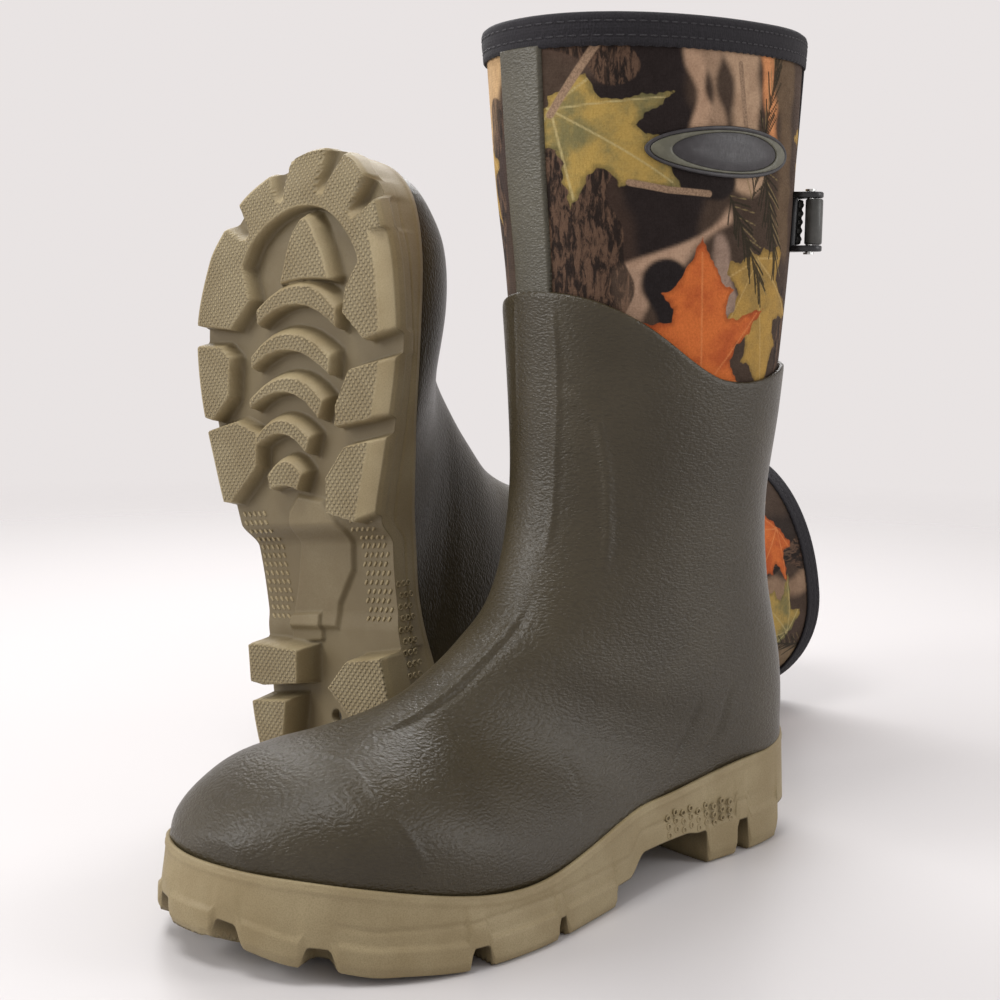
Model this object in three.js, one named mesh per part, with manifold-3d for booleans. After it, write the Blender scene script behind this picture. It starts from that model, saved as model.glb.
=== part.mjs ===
// A pair of insulated rubber hunting boots: the left boot stands, the right boot lies on its back beside it.
// Millimetres, +Z up. The left toe points to -Y and its outer side to +X.
// Both boots are built once, in the left boot's own axes, and the right one is its mirror image.

import * as THREE from "three";
import { mergeVertices } from "three/addons/utils/BufferGeometryUtils.js";
import Module from "manifold-3d";

const wasm = await Module();
wasm.setup();

// ---- Driving dimensions ----

const SOLE_LENGTH = 303.5;
const SOLE_WIDTH = 134;
const BOOT_HEIGHT = 347;
const ANKLE_HEIGHT = 100; // the shaft above this stretches with BOOT_HEIGHT
const SLEEVE_SEAM = 150; // where the neoprene sleeve of the shaft is sewn to the neoprene foot

const SHELL_WALL = 2.4;
const NEOPRENE_WALL = 4.5;
const STIFFENER_WALL = 1.2;
const FIT_GAP = 0.3; // between two pieces that touch

const LUG_DEPTH = 8.5;
const HEEL_LUG_DEPTH = 15;
const OUTSOLE_FLOOR = 4;
const FOOTBED_THICKNESS = 5;
const FOOTBED_CLEARANCE = 0.6;
const SHANK_LENGTH = 88;
const SHANK_WIDTH = 16;
const SHANK_THICKNESS = 1.5;

const BINDING_HEIGHT = 13;
const BINDING_WALL = 1.2;
const STRIP_WIDTH = 21;
const STRIP_SIDE = -2; // its middle lies this far to the outer side of the boot's middle
const STRIP_THICKNESS = 1.5;
const BADGE_LENGTH = 73;
const BADGE_HEIGHT = 20;
const BADGE_THICKNESS = 1.4;
const BADGE_ANGLE = 112;
const BADGE_MIDDLE = 296; // height of its middle

const GUSSET_TOP_WIDTH = 56;
const GUSSET_FOOT_WIDTH = 12;
const GUSSET_ANGLE = 22; // degrees from the back of the shaft towards its outer side
const GUSSET_FOOT = 222;
const GUSSET_MIDDLE = 290;

const STRAP_WIDTH = 19;
const STRAP_THICKNESS = 1.9;
const STRAP_HEIGHT = 271;
const BUCKLE_ANGLE = 48;
const BUCKLE_BASE_THICKNESS = 1.8;
const BUCKLE_LENGTH = 23;
const EAR_THICKNESS = 2.7;
const PIN_RADIUS = 1.4;
const PIN_RISE = 8; // pin axis above the neoprene
const PIN_OFFSET = 7; // pin axis ahead of the buckle's middle
const HUB_RADIUS = 3;
const LEVER_LENGTH = 17;
const LEVER_THICKNESS = 3;
const RIVET_RADIUS = 1.3;

// Where the right boot lies: the back of its heel, ahead of and inside the left boot's heel.
const LYING_FORWARD = 161.5;
const LYING_INWARD = 106;
const LYING_TURN = 5.4; // degrees, its shaft swings away from the left boot
const LYING_ROLL = 6.6; // degrees, it rolls onto its outer side

// ---- Materials ----

const rubberGreen = new THREE.MeshStandardMaterial({ color: 0x3b3722, roughness: 0.42 });
const soleTan = new THREE.MeshStandardMaterial({ color: 0x8f7f55, roughness: 0.7 });
const camouflage = new THREE.MeshStandardMaterial({ color: 0x6a5138, roughness: 0.9 });
const blackWeb = new THREE.MeshStandardMaterial({ color: 0x17161a, roughness: 0.85 });
const stripGreen = new THREE.MeshStandardMaterial({ color: 0x4d4a35, roughness: 0.6 });
const blackPlastic = new THREE.MeshStandardMaterial({ color: 0x1b1b1c, roughness: 0.45 });
const greyPlastic = new THREE.MeshStandardMaterial({ color: 0x55564c, roughness: 0.5 });
const steel = new THREE.MeshStandardMaterial({ color: 0x9a9a98, roughness: 0.35, metalness: 1 });
const foam = new THREE.MeshStandardMaterial({ color: 0x6f6f70, roughness: 0.9 });
const board = new THREE.MeshStandardMaterial({ color: 0xa58a5e, roughness: 0.9 });

// ---- The boot's own axes ----

// The tables of points below are drawn for these sizes, and stretch with the driving ones.
const DRAWN_LENGTH = 303.5;
const DRAWN_WIDTH = 134;
const DRAWN_HEIGHT = 347;
const LENGTH_SCALE = SOLE_LENGTH / DRAWN_LENGTH;
const WIDTH_SCALE = SOLE_WIDTH / DRAWN_WIDTH;
const SHAFT_SCALE = (BOOT_HEIGHT - ANKLE_HEIGHT) / (DRAWN_HEIGHT - ANKLE_HEIGHT);

// A point given as forward from the heel, sideways to the outer side, and up.
const at = (forward, side, up) => new THREE.Vector3(side, -forward, up);

// Heights on the shaft follow the boot's height.
const lift = (up) => (up <= ANKLE_HEIGHT ? up : ANKLE_HEIGHT + (up - ANKLE_HEIGHT) * SHAFT_SCALE);

// Smooth value at x through the knots xs, ys, with no overshoot between them.
function smooth(xs, ys, x) {
  if (x <= xs[0]) return ys[0];
  const last = xs.length - 1;
  if (x >= xs[last]) return ys[last];
  let i = 0;
  while (x > xs[i + 1]) i++;
  const t = (x - xs[i]) / (xs[i + 1] - xs[i]);
  return ys[i] + (ys[i + 1] - ys[i]) * t * t * (3 - 2 * t);
}

// ---- Solids ----

function toSolid(geometry) {
  const bare = geometry.clone();
  bare.deleteAttribute("normal");
  bare.deleteAttribute("uv");
  const merged = mergeVertices(bare, 1e-4);
  return new wasm.Manifold(
    new wasm.Mesh({
      numProp: 3,
      vertProperties: new Float32Array(merged.attributes.position.array),
      triVerts: new Uint32Array(merged.index.array),
    }),
  );
}

function toGeometry(solid) {
  const mesh = solid.getMesh();
  const geometry = new THREE.BufferGeometry();
  geometry.setAttribute("position", new THREE.BufferAttribute(mesh.vertProperties, 3));
  geometry.setIndex(new THREE.BufferAttribute(mesh.triVerts, 1));
  return geometry;
}

// A closed skin over rings of equal length, with a point in the middle of each end.
function skin(rings, firstPoint, lastPoint) {
  const count = rings[0].length;
  const points = rings.flat().concat(firstPoint, lastPoint);
  const index = [];
  for (let r = 0; r + 1 < rings.length; r++) {
    for (let i = 0; i < count; i++) {
      const a = r * count + i;
      const b = r * count + ((i + 1) % count);
      index.push(a, a + count, b, b, a + count, b + count);
    }
  }
  const first = points.length - 2;
  const tail = (rings.length - 1) * count;
  for (let i = 0; i < count; i++) {
    const next = (i + 1) % count;
    index.push(first, i, next, tail + next, tail + i, first + 1);
  }
  const geometry = new THREE.BufferGeometry().setFromPoints(points);
  geometry.setIndex(index);
  return geometry;
}

// A prism of an outline of [a, b] pairs: place(a, b, c) says where it goes, with c from low to high.
function prism(outline, low, high, place) {
  const shape = new THREE.Shape(outline.map(([a, b]) => new THREE.Vector2(a, b)));
  const geometry = new THREE.ExtrudeGeometry(shape, { depth: 1, bevelEnabled: false, curveSegments: 1 });
  const position = geometry.attributes.position;
  for (let i = 0; i < position.count; i++) {
    const [a, b, c] = [position.getX(i), position.getY(i), position.getZ(i)];
    const levels = [low, high].map((level) => (typeof level === "function" ? level(a, b) : level));
    const point = place(a, b, levels[0] + (levels[1] - levels[0]) * c);
    position.setXYZ(i, point.x, point.y, point.z);
  }
  const solid = toSolid(geometry);
  if (solid.volume() > 0) return solid;
  const index = Array.from({ length: position.count }, (_, i) => position.count - 1 - i);
  geometry.setIndex(index);
  return toSolid(geometry);
}

const rectangle = (a0, a1, b0, b1) => [[a0, b0], [a1, b0], [a1, b1], [a0, b1]];
const circle = (a, b, radius, sides) =>
  Array.from({ length: sides }, (_, i) => {
    const angle = (2 * Math.PI * (i + 0.5)) / sides;
    return [a + radius * Math.cos(angle), b + radius * Math.sin(angle)];
  });

const block = (f0, f1, s0, s1, u0, u1) => prism(rectangle(f0, f1, s0, s1), u0, u1, at);

// ---- The boot's outer form ----
// Each section is a plane from its front or top point to its back or bottom point.
// Lengths and heights in mm: top forward, top up, bottom forward, bottom up, outer half width, inner half width,
// share of the way from bottom to top where it is widest, squareness above and below that line.
const SECTIONS = [
  [152, 360, 0, 360, 60, 64.5, 0.41, 2.15, 2],
  [146, 290, 2, 290, 57.5, 60.5, 0.41, 2.1, 2],
  [141, 247, 4, 250, 55.8, 56.5, 0.41, 2.05, 2],
  [138, 198, 8, 194, 52, 52, 0.41, 2, 2],
  [138, 163, 12, 150, 48, 48, 0.41, 2, 2],
  [144.5, 134.5, 8, 112, 46.5, 45, 0.4, 2, 2.15],
  [156, 114, 3, 76, 47, 43, 0.38, 2, 2.7],
  [173, 101, 2, 50, 47, 42, 0.35, 2, 2.9],
  [189.5, 92, 8, 33, 46, 40, 0.25, 2, 2.9],
  [205.5, 85, 45, 30, 44.5, 35, 0.2, 2, 3],
  [222, 80.5, 92, 27, 46, 34.5, 0.2, 2, 3],
  [239, 77, 140, 19, 55.5, 44, 0.22, 2.1, 3.2],
  [254.5, 74, 185, 14.5, 62, 56, 0.25, 2.2, 3.4],
  [268, 70, 225, 14, 59, 58, 0.3, 2.3, 3.2],
  [280, 63.5, 258, 17, 48, 53, 0.35, 2.3, 2.8],
  [289.5, 56, 278, 21, 33, 46, 0.4, 2.2, 2.4],
  [297, 48, 292, 30, 16, 33, 0.45, 2, 2],
];
const TOE_TIP = [299, -11, 40];
const COLUMNS = 18;
const SHELL_TOP_SECTION = 3; // the first section that lies wholly below the shell's top edge
const SHELL_FRONT = 240; // height of the shell's top edge at the front

const TOE_SETBACK = [0.2, 0.45, 0.75, 1]; // share of an inset by which the last sections move back

// One section's ring, moved inwards by inset within its own plane.
function sectionRing([topF, topU, lowF, lowU, outer, inner, widest, squareTop, squareLow], r, inset) {
  const setback = inset * (TOE_SETBACK[r - SECTIONS.length + TOE_SETBACK.length] ?? 0);
  const top = new THREE.Vector2(topF * LENGTH_SCALE - setback, lift(topU));
  const low = new THREE.Vector2(lowF * LENGTH_SCALE - setback, lift(lowU));
  const middle = low.clone().lerp(top, widest);
  const height = top.distanceTo(low);
  const shares = { top: 1 - inset / (height * (1 - widest)), low: 1 - inset / (height * widest) };
  return Array.from({ length: COLUMNS }, (_, i) => {
    const angle = (2 * Math.PI * i) / COLUMNS;
    const along = Math.cos(angle);
    const across = Math.sin(angle);
    const power = 2 / (along >= 0 ? squareTop : squareLow);
    const [end, share] = along >= 0 ? [top, shares.top] : [low, shares.low];
    const spot = middle.clone().lerp(end, Math.max(share, 0.1) * Math.abs(along) ** power);
    const half = (across >= 0 ? outer : inner) * WIDTH_SCALE - inset;
    return at(spot.x, half * Math.sign(across) * Math.abs(across) ** power, spot.y);
  });
}

const insetRings = (inset) => SECTIONS.map((section, r) => sectionRing(section, r, inset));

// Where column i of the rings reaches the height up, on the stretch below ring above.
function columnAt(rings, i, up, above) {
  const [high, low] = [rings[above][i], rings[above + 1][i]];
  return high.clone().lerp(low, (high.z - up) / (high.z - low.z));
}

// Degrees round the shaft from its back, towards its outer side.
const SHAFT_CENTRE = at(61 * LENGTH_SCALE, 0, 0);
const roundAngle = (point) =>
  THREE.MathUtils.radToDeg(Math.atan2(point.x - SHAFT_CENTRE.x, point.y - SHAFT_CENTRE.y));

// The form moved inwards by inset, as a solid that ends at rim: a height, or a function of the angle.
function form(inset, rim = BOOT_HEIGHT, firstSection = 1) {
  const rings = insetRings(inset);
  const height = (point) => (typeof rim === "function" ? rim(Math.abs(roundAngle(point))) : rim);
  const top = rings[0].map((_, i) => {
    const guess = columnAt(rings, i, rings[firstSection][i].z + 20, firstSection - 1);
    return columnAt(rings, i, height(guess), firstSection - 1);
  });
  const crown = top.reduce((sum, point) => sum.add(point), new THREE.Vector3()).divideScalar(COLUMNS);
  const tip = at(TOE_TIP[0] * LENGTH_SCALE - inset, TOE_TIP[1] * WIDTH_SCALE, TOE_TIP[2]);
  return toSolid(skin([top, ...rings.slice(firstSection)], crown, tip));
}

const layer = (outer, inner) => form(outer).subtract(form(inner, BOOT_HEIGHT + 8));

// The shell's top edge: high at the front, dipping at the sides.
const shellRim = (angle) =>
  lift(smooth([0, 55, 100, 122, 150, 170, 180], [214, 210, 204.5, 209.5, 230, SHELL_FRONT, SHELL_FRONT], angle));

// Insets of the pieces that lie in each other, from the shell's outer face.
const NEOPRENE_OUTER = SHELL_WALL + FIT_GAP;
const NEOPRENE_INNER = NEOPRENE_OUTER + NEOPRENE_WALL;
const FOOT_SPACE = NEOPRENE_INNER + FOOTBED_CLEARANCE;

// ---- Sole outline and heights ----

const OUTLINE_POINTS = [
  [0, 0], [4, 26], [18, 42], [45, 49], [85, 49], [120, 52], [160, 61], [200, 68], [235, 66], [265, 54], [290, 31],
  [302, 2], [303, -21], [293, -42], [274, -56], [245, -64], [210, -63], [170, -52], [130, -40], [90, -39],
  [50, -44], [18, -39], [4, -23],
];
const FEATHER_SHRINK = 0.955;
const SOLE_STATIONS = 20;

const outlineCurve = new THREE.CatmullRomCurve3(
  OUTLINE_POINTS.map(([f, s]) => new THREE.Vector3(f * LENGTH_SCALE, s * WIDTH_SCALE, 0)),
  true,
  "catmullrom",
  0.5,
).getPoints(240);

// Half width of the sole at a forward place: side is 1 for the outer side and -1 for the inner side.
function soleHalfWidth(forward, side) {
  const edge = outlineCurve.filter((p) => p.y * side > 0).sort((p, q) => p.x - q.x);
  const after = Math.max(1, edge.findIndex((p) => p.x >= forward));
  const [p, q] = [edge[after - 1], edge[after]];
  const share = THREE.MathUtils.clamp((forward - p.x) / (q.x - p.x || 1), 0, 1);
  return Math.abs(p.y + (q.y - p.y) * share);
}

// Places from heel to toe, closer together at both ends.
const stations = (from, to, count) =>
  Array.from({ length: count }, (_, i) => {
    return from + ((to - from) * (1 - Math.cos((Math.PI * (i + 0.5)) / count))) / 2;
  });

// A slab under the foot: a ladder of cross sections, each with a lower and an upper edge on both sides.
function soleSlab(places, low, high, lowShare = 1, highShare = lowShare) {
  const rings = places.map((f) => {
    const [outer, inner] = [soleHalfWidth(f, 1), soleHalfWidth(f, -1)];
    return [
      at(f, outer * lowShare, low(f)),
      at(f, -inner * lowShare, low(f)),
      at(f, -inner * highShare, high(f)),
      at(f, outer * highShare, high(f)),
    ];
  });
  const middle = (ring) => ring.reduce((sum, p) => sum.add(p), new THREE.Vector3()).divideScalar(4);
  return toSolid(skin(rings, middle(rings[0]), middle(rings[rings.length - 1])));
}

const alongSole = (knots) => knots.map((knot) => knot * LENGTH_SCALE);
const treadHeight = (f) => smooth(alongSole([230, 262, 285, DRAWN_LENGTH]), [0, 2, 6, 12], f);
const baseHeight = (f) =>
  smooth(alongSole([84, 94, 124, 136]), [HEEL_LUG_DEPTH, HEEL_LUG_DEPTH + 1.5, HEEL_LUG_DEPTH + 1.5, LUG_DEPTH], f) +
  treadHeight(f);
const featherHeight = (f) => smooth(alongSole([0, 40, 110, 200, DRAWN_LENGTH]), [46.4, 41, 34, 22.6, 37.8], f);

// ---- Outsole ----

// Ground lugs as outlines of [forward, side] points, side positive to the outer side.
const LUGS = [
  [[243, -31], [266, -30], [272, -10], [266, 8], [245, 9], [241, -12]],
  [[226, 24], [231, -5], [219, -31], [234, -33], [244, -7], [239, 24]],
  [[206, 31], [210, 4], [199, -24], [213, -27], [223, 3], [218, 30]],
  [[188, 34], [191, 8], [180, -14], [193, -21], [203, 5], [198, 34]],
  [[170, 31], [172, 12], [165, -4], [177, -10], [185, 11], [180, 32]],
  [[150, 25], [149, 4], [160, -3], [166, 9], [162, 26]],
  [[267, 33], [240, 25], [227, 41], [233, 76], [256, 76], [268, 50]],
  [[223, 50], [216, 42], [196, 46], [185, 60], [190, 78], [226, 78]],
  [[187, 43], [180, 27], [162, 30], [145, 51], [146, 74], [182, 76]],
  [[240, -36], [228, -33], [214, -46], [219, -78], [250, -78], [258, -50]],
  [[205, -35], [189, -24], [177, -22], [179, -45], [183, -76], [210, -76]],
  [[171, -28], [157, -14], [139, -12], [134, -31], [146, -70], [176, -70]],
  [[80, 37], [78, 12], [59, 14], [57, 40], [60, 60], [80, 60]],
  [[52, 58], [54, 22], [30, 28], [22, 58]],
  [[60, -3], [74, -18], [78, -56], [54, -56], [44, -18]],
  [[38, -14], [46, -30], [44, -56], [18, -56], [24, -22]],
  [[22, 18], [24, -14], [-4, -14], [-4, 18]],
];
const TOE_CENTRE = [238, -6];
const TOE_LUG_ANGLES = [[-78, -50], [-44, -20], [-14, 12], [18, 44], [50, 76]];
const TOE_LUG_INNER = 40;
const TOE_LUG_REACH = 90;
const LUG_OVERHANG = 1.02;

function toeLug([from, to]) {
  const corner = (angle, radius) => {
    const turn = THREE.MathUtils.degToRad(angle);
    return [TOE_CENTRE[0] + radius * Math.cos(turn), TOE_CENTRE[1] + radius * Math.sin(turn)];
  };
  return [corner(from, TOE_LUG_INNER), corner(from, TOE_LUG_REACH), corner(to, TOE_LUG_REACH), corner(to, TOE_LUG_INNER)];
}

function makeOutsole(cavity, pocket) {
  const places = stations(0, SOLE_LENGTH, SOLE_STATIONS);
  let sole = soleSlab(places, baseHeight, featherHeight, 1, FEATHER_SHRINK);
  const clip = soleSlab(places, () => -1, () => 30, LUG_OVERHANG);
  for (const lug of [...LUGS, ...TOE_LUG_ANGLES.map(toeLug)]) {
    const scaled = lug.map(([f, s]) => [f * LENGTH_SCALE, s * WIDTH_SCALE]);
    const solid = prism(scaled, (f) => treadHeight(f), (f) => baseHeight(f) + 2, at);
    sole = sole.add(solid.intersect(clip));
  }
  return sole.subtract(cavity).subtract(pocket);
}

// ---- Pieces under the foot ----

const MIDSOLE_START = 14;
const MIDSOLE_END = 132;
const MIDSOLE_WIDTH_SHARE = 0.72;
const SHANK_START = 28;

function midsoleBlock(grow) {
  const low = HEEL_LUG_DEPTH + OUTSOLE_FLOOR - grow;
  const places = stations(MIDSOLE_START - grow, MIDSOLE_END * LENGTH_SCALE + grow, 8);
  return soleSlab(places, () => low, () => 38, MIDSOLE_WIDTH_SHARE + grow / 50);
}

function shankBlock(grow) {
  const low = HEEL_LUG_DEPTH + OUTSOLE_FLOOR;
  const half = SHANK_WIDTH / 2 + grow;
  const high = low + SHANK_THICKNESS + grow;
  return block(SHANK_START - grow, SHANK_START + SHANK_LENGTH + grow, -half, half, low - grow, high);
}

// The inside floor, from the side: forward and up.
const FLOOR_LINE = [[-5, 33], [9, 33], [45, 30], [92, 27], [140, 19], [185, 14.5], [225, 14], [258, 17], [300, 24]];

function makeFootbed() {
  const top = FLOOR_LINE.map(([f, u]) => [f * LENGTH_SCALE, u + FOOT_SPACE + FOOTBED_THICKNESS]);
  const first = top[0][0];
  const last = top[top.length - 1][0];
  const side = [...top, [last, 0], [first, 0]];
  return form(FOOT_SPACE).intersect(prism(side, -90, 90, (f, u, s) => at(f, s, u)));
}

// ---- Stiffeners between the shell and the neoprene ----

const heelRegion = (grow) => block(-20, 58 + grow, -80, 80, 46 - grow, 98 + grow);
const toeRegion = (grow) => block(240 * LENGTH_SCALE - grow, 400, -90, 90, 32 - grow, 120);
const stiffener = (region) => layer(NEOPRENE_OUTER, NEOPRENE_OUTER + STIFFENER_WALL).intersect(region(0));
const stiffenerPocket = (region) =>
  layer(NEOPRENE_OUTER - FIT_GAP, NEOPRENE_OUTER + STIFFENER_WALL + FIT_GAP).intersect(region(FIT_GAP));

// ---- Places on the shaft ----

// A frame on the neoprene's outer face: origin on the face, t round the shaft, n outwards, k up.
function shaftFrame(angle, up) {
  const rings = insetRings(NEOPRENE_OUTER);
  const points = rings[1].map((_, i) => columnAt(rings, i, up, up > rings[1][i].z ? 0 : 1));
  for (let i = 0; i < COLUMNS; i++) {
    const [a, b] = [points[(i + 1) % COLUMNS], points[i]];
    const [from, to] = [roundAngle(a), roundAngle(b)];
    if (from > angle || to < angle || to - from > 90) continue;
    const t = b.clone().sub(a).setZ(0).normalize();
    const n = new THREE.Vector3(t.y, -t.x, 0).negate();
    const share = (angle - from) / (to - from);
    const origin = a.clone().lerp(b, share);
    if (n.dot(origin.clone().sub(SHAFT_CENTRE)) < 0) n.negate();
    return (along, out, high) =>
      origin.clone().addScaledVector(t, along).addScaledVector(n, out).setZ(up + high);
  }
  throw new Error("no face at that angle");
}

// A prism through the wall at a shaft frame: an outline of [along, high] pairs.
const throughWall = (frame, outline, low = -20, high = 30) =>
  prism(outline, low, high, (along, up, out) => frame(along, out, up));

// A wedge of the shaft between two angles and two heights.
function wedge(from, to, low, high) {
  const steps = 6;
  const reach = 200;
  const arc = Array.from({ length: steps + 1 }, (_, i) => {
    const angle = THREE.MathUtils.degToRad(from + ((to - from) * i) / steps);
    return [-SHAFT_CENTRE.y - reach * Math.cos(angle), reach * Math.sin(angle)];
  });
  return prism([[-SHAFT_CENTRE.y, 0], ...arc], low, high, at);
}

// ---- Shaft pieces ----

// The gusset's wedge through the wall, wide at the collar and narrow at its foot.
function gussetPrism(grow) {
  const middle = lift(GUSSET_MIDDLE);
  const top = GUSSET_TOP_WIDTH / 2 + grow;
  const foot = GUSSET_FOOT_WIDTH / 2 + grow;
  const low = lift(GUSSET_FOOT) - grow - middle;
  const high = BOOT_HEIGHT + 20 - middle;
  return throughWall(shaftFrame(GUSSET_ANGLE, middle), [[-foot, low], [foot, low], [top, high], [-top, high]]);
}

function makeBinding() {
  const outer = NEOPRENE_OUTER - FIT_GAP - BINDING_WALL;
  const inner = NEOPRENE_INNER + FIT_GAP + BINDING_WALL;
  const ring = form(outer).subtract(form(inner, BOOT_HEIGHT + 8));
  const slot = form(NEOPRENE_OUTER - FIT_GAP, BOOT_HEIGHT - BINDING_WALL).subtract(
    form(NEOPRENE_INNER + FIT_GAP, BOOT_HEIGHT + 8),
  );
  return ring.intersect(block(-100, 400, -200, 200, BOOT_HEIGHT - BINDING_HEIGHT, BOOT_HEIGHT + 10)).subtract(slot);
}

function makeFrontStrip() {
  const inner = NEOPRENE_OUTER - FIT_GAP;
  const wall = layer(inner - STRIP_THICKNESS, inner);
  const low = lift(SHELL_FRONT) + FIT_GAP;
  const high = BOOT_HEIGHT - BINDING_HEIGHT - FIT_GAP;
  const half = STRIP_WIDTH / 2;
  const front = -SHAFT_CENTRE.y;
  return wall.intersect(block(front, front + 150, STRIP_SIDE - half, STRIP_SIDE + half, low, high));
}

function makeBadge() {
  const oval = Array.from({ length: 20 }, (_, i) => {
    const angle = (2 * Math.PI * i) / 20;
    return [(BADGE_LENGTH / 2) * Math.cos(angle), (BADGE_HEIGHT / 2) * Math.sin(angle)];
  });
  const inner = NEOPRENE_OUTER - FIT_GAP;
  const frame = shaftFrame(BADGE_ANGLE, lift(BADGE_MIDDLE));
  return layer(inner - BADGE_THICKNESS, inner).intersect(throughWall(frame, oval));
}

// ---- Calf strap and its buckle ----

const STRAP_UP = lift(STRAP_HEIGHT);
const BASE_INNER = NEOPRENE_OUTER - FIT_GAP;
const BASE_OUTER = BASE_INNER - BUCKLE_BASE_THICKNESS;
const STRAP_INNER = BASE_OUTER - FIT_GAP;
const STRAP_OUTER = STRAP_INNER - STRAP_THICKNESS;
const STRAP_START = -20;
const STRAP_END = 53;
const ANCHOR_START = -26;
const ANCHOR_END = -10;
const EAR_INNER = STRAP_WIDTH / 2 + FIT_GAP;
const EAR_OUTER = EAR_INNER + EAR_THICKNESS;
const buckleFrame = shaftFrame(BUCKLE_ANGLE, STRAP_UP);

const barAt = (radius, low, high, sides = 10) =>
  prism(circle(PIN_OFFSET, PIN_RISE, radius, sides), low, high, (along, out, up) => buckleFrame(along, out, up));

function makeStrap() {
  const half = STRAP_WIDTH / 2;
  return layer(STRAP_OUTER, STRAP_INNER).intersect(wedge(STRAP_START, STRAP_END, STRAP_UP - half, STRAP_UP + half));
}

function makeAnchor() {
  const half = STRAP_WIDTH / 2 + 3;
  return layer(BASE_OUTER, BASE_INNER).intersect(wedge(ANCHOR_START, ANCHOR_END, STRAP_UP - half, STRAP_UP + half));
}

const rivetPlaces = [-5.5, 5.5];
const rivetAt = (high, radius, low, top) =>
  prism(circle(0, high, radius, 8), low, top, (along, up, out) => buckleFrame(along, out, up));
const RIVET_HEAD = 0.8;

function makeRivet(high) {
  const top = BUCKLE_BASE_THICKNESS;
  const shank = rivetAt(high, RIVET_RADIUS, -NEOPRENE_WALL - 1, top - 0.4);
  const head = rivetAt(high, RIVET_RADIUS + 1, top - RIVET_HEAD, top - 0.1);
  const clench = rivetAt(high, RIVET_RADIUS + 1, -NEOPRENE_WALL - 1.6, -NEOPRENE_WALL - 0.6);
  return shank.add(head).add(clench);
}

const rivetHoles = () =>
  rivetPlaces
    .map((high) =>
      rivetAt(high, RIVET_RADIUS + FIT_GAP, -30, 10).add(
        rivetAt(high, RIVET_RADIUS + 1 + FIT_GAP, BUCKLE_BASE_THICKNESS - RIVET_HEAD - FIT_GAP, 10),
      ),
    )
    .reduce((all, hole) => all.add(hole));

function makeBuckleFrame() {
  const half = BUCKLE_LENGTH / 2;
  const plate = layer(BASE_OUTER, BASE_INNER).intersect(
    throughWall(buckleFrame, rectangle(-half, half, -EAR_OUTER, EAR_OUTER)),
  );
  const side = [[-2, 0.6], [half, 0.6], [half, PIN_RISE], [PIN_OFFSET + 3, PIN_RISE + 3], [PIN_OFFSET - 3, PIN_RISE + 3]];
  const ear = (low, high) => prism(side, low, high, (along, out, up) => buckleFrame(along, out, up));
  return plate
    .add(ear(EAR_INNER, EAR_OUTER))
    .add(ear(-EAR_OUTER, -EAR_INNER))
    .subtract(barAt(PIN_RADIUS + FIT_GAP, -EAR_OUTER - 1, EAR_OUTER + 1))
    .subtract(form(BASE_INNER))
    .subtract(rivetHoles());
}

function makePin() {
  const head = 0.8;
  return barAt(PIN_RADIUS, -EAR_OUTER - head, EAR_OUTER + head)
    .add(barAt(PIN_RADIUS + 0.8, EAR_OUTER + FIT_GAP, EAR_OUTER + FIT_GAP + head))
    .add(barAt(PIN_RADIUS + 0.8, -EAR_OUTER - FIT_GAP - head, -EAR_OUTER - FIT_GAP));
}

function makeLever() {
  const half = EAR_INNER - FIT_GAP;
  const low = PIN_RISE - 0.2;
  const tip = PIN_OFFSET - LEVER_LENGTH;
  const high = low + LEVER_THICKNESS;
  const side = [[PIN_OFFSET, low], [tip, low - 0.8], [tip - 1, low + 0.6], [tip + 1, high - 0.6], [PIN_OFFSET, high]];
  const plate = prism(side, -half, half, (along, out, up) => buckleFrame(along, out, up));
  return plate.add(barAt(HUB_RADIUS, -half, half)).subtract(barAt(PIN_RADIUS + FIT_GAP, -half - 1, half + 1));
}

// ---- One boot ----

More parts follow.
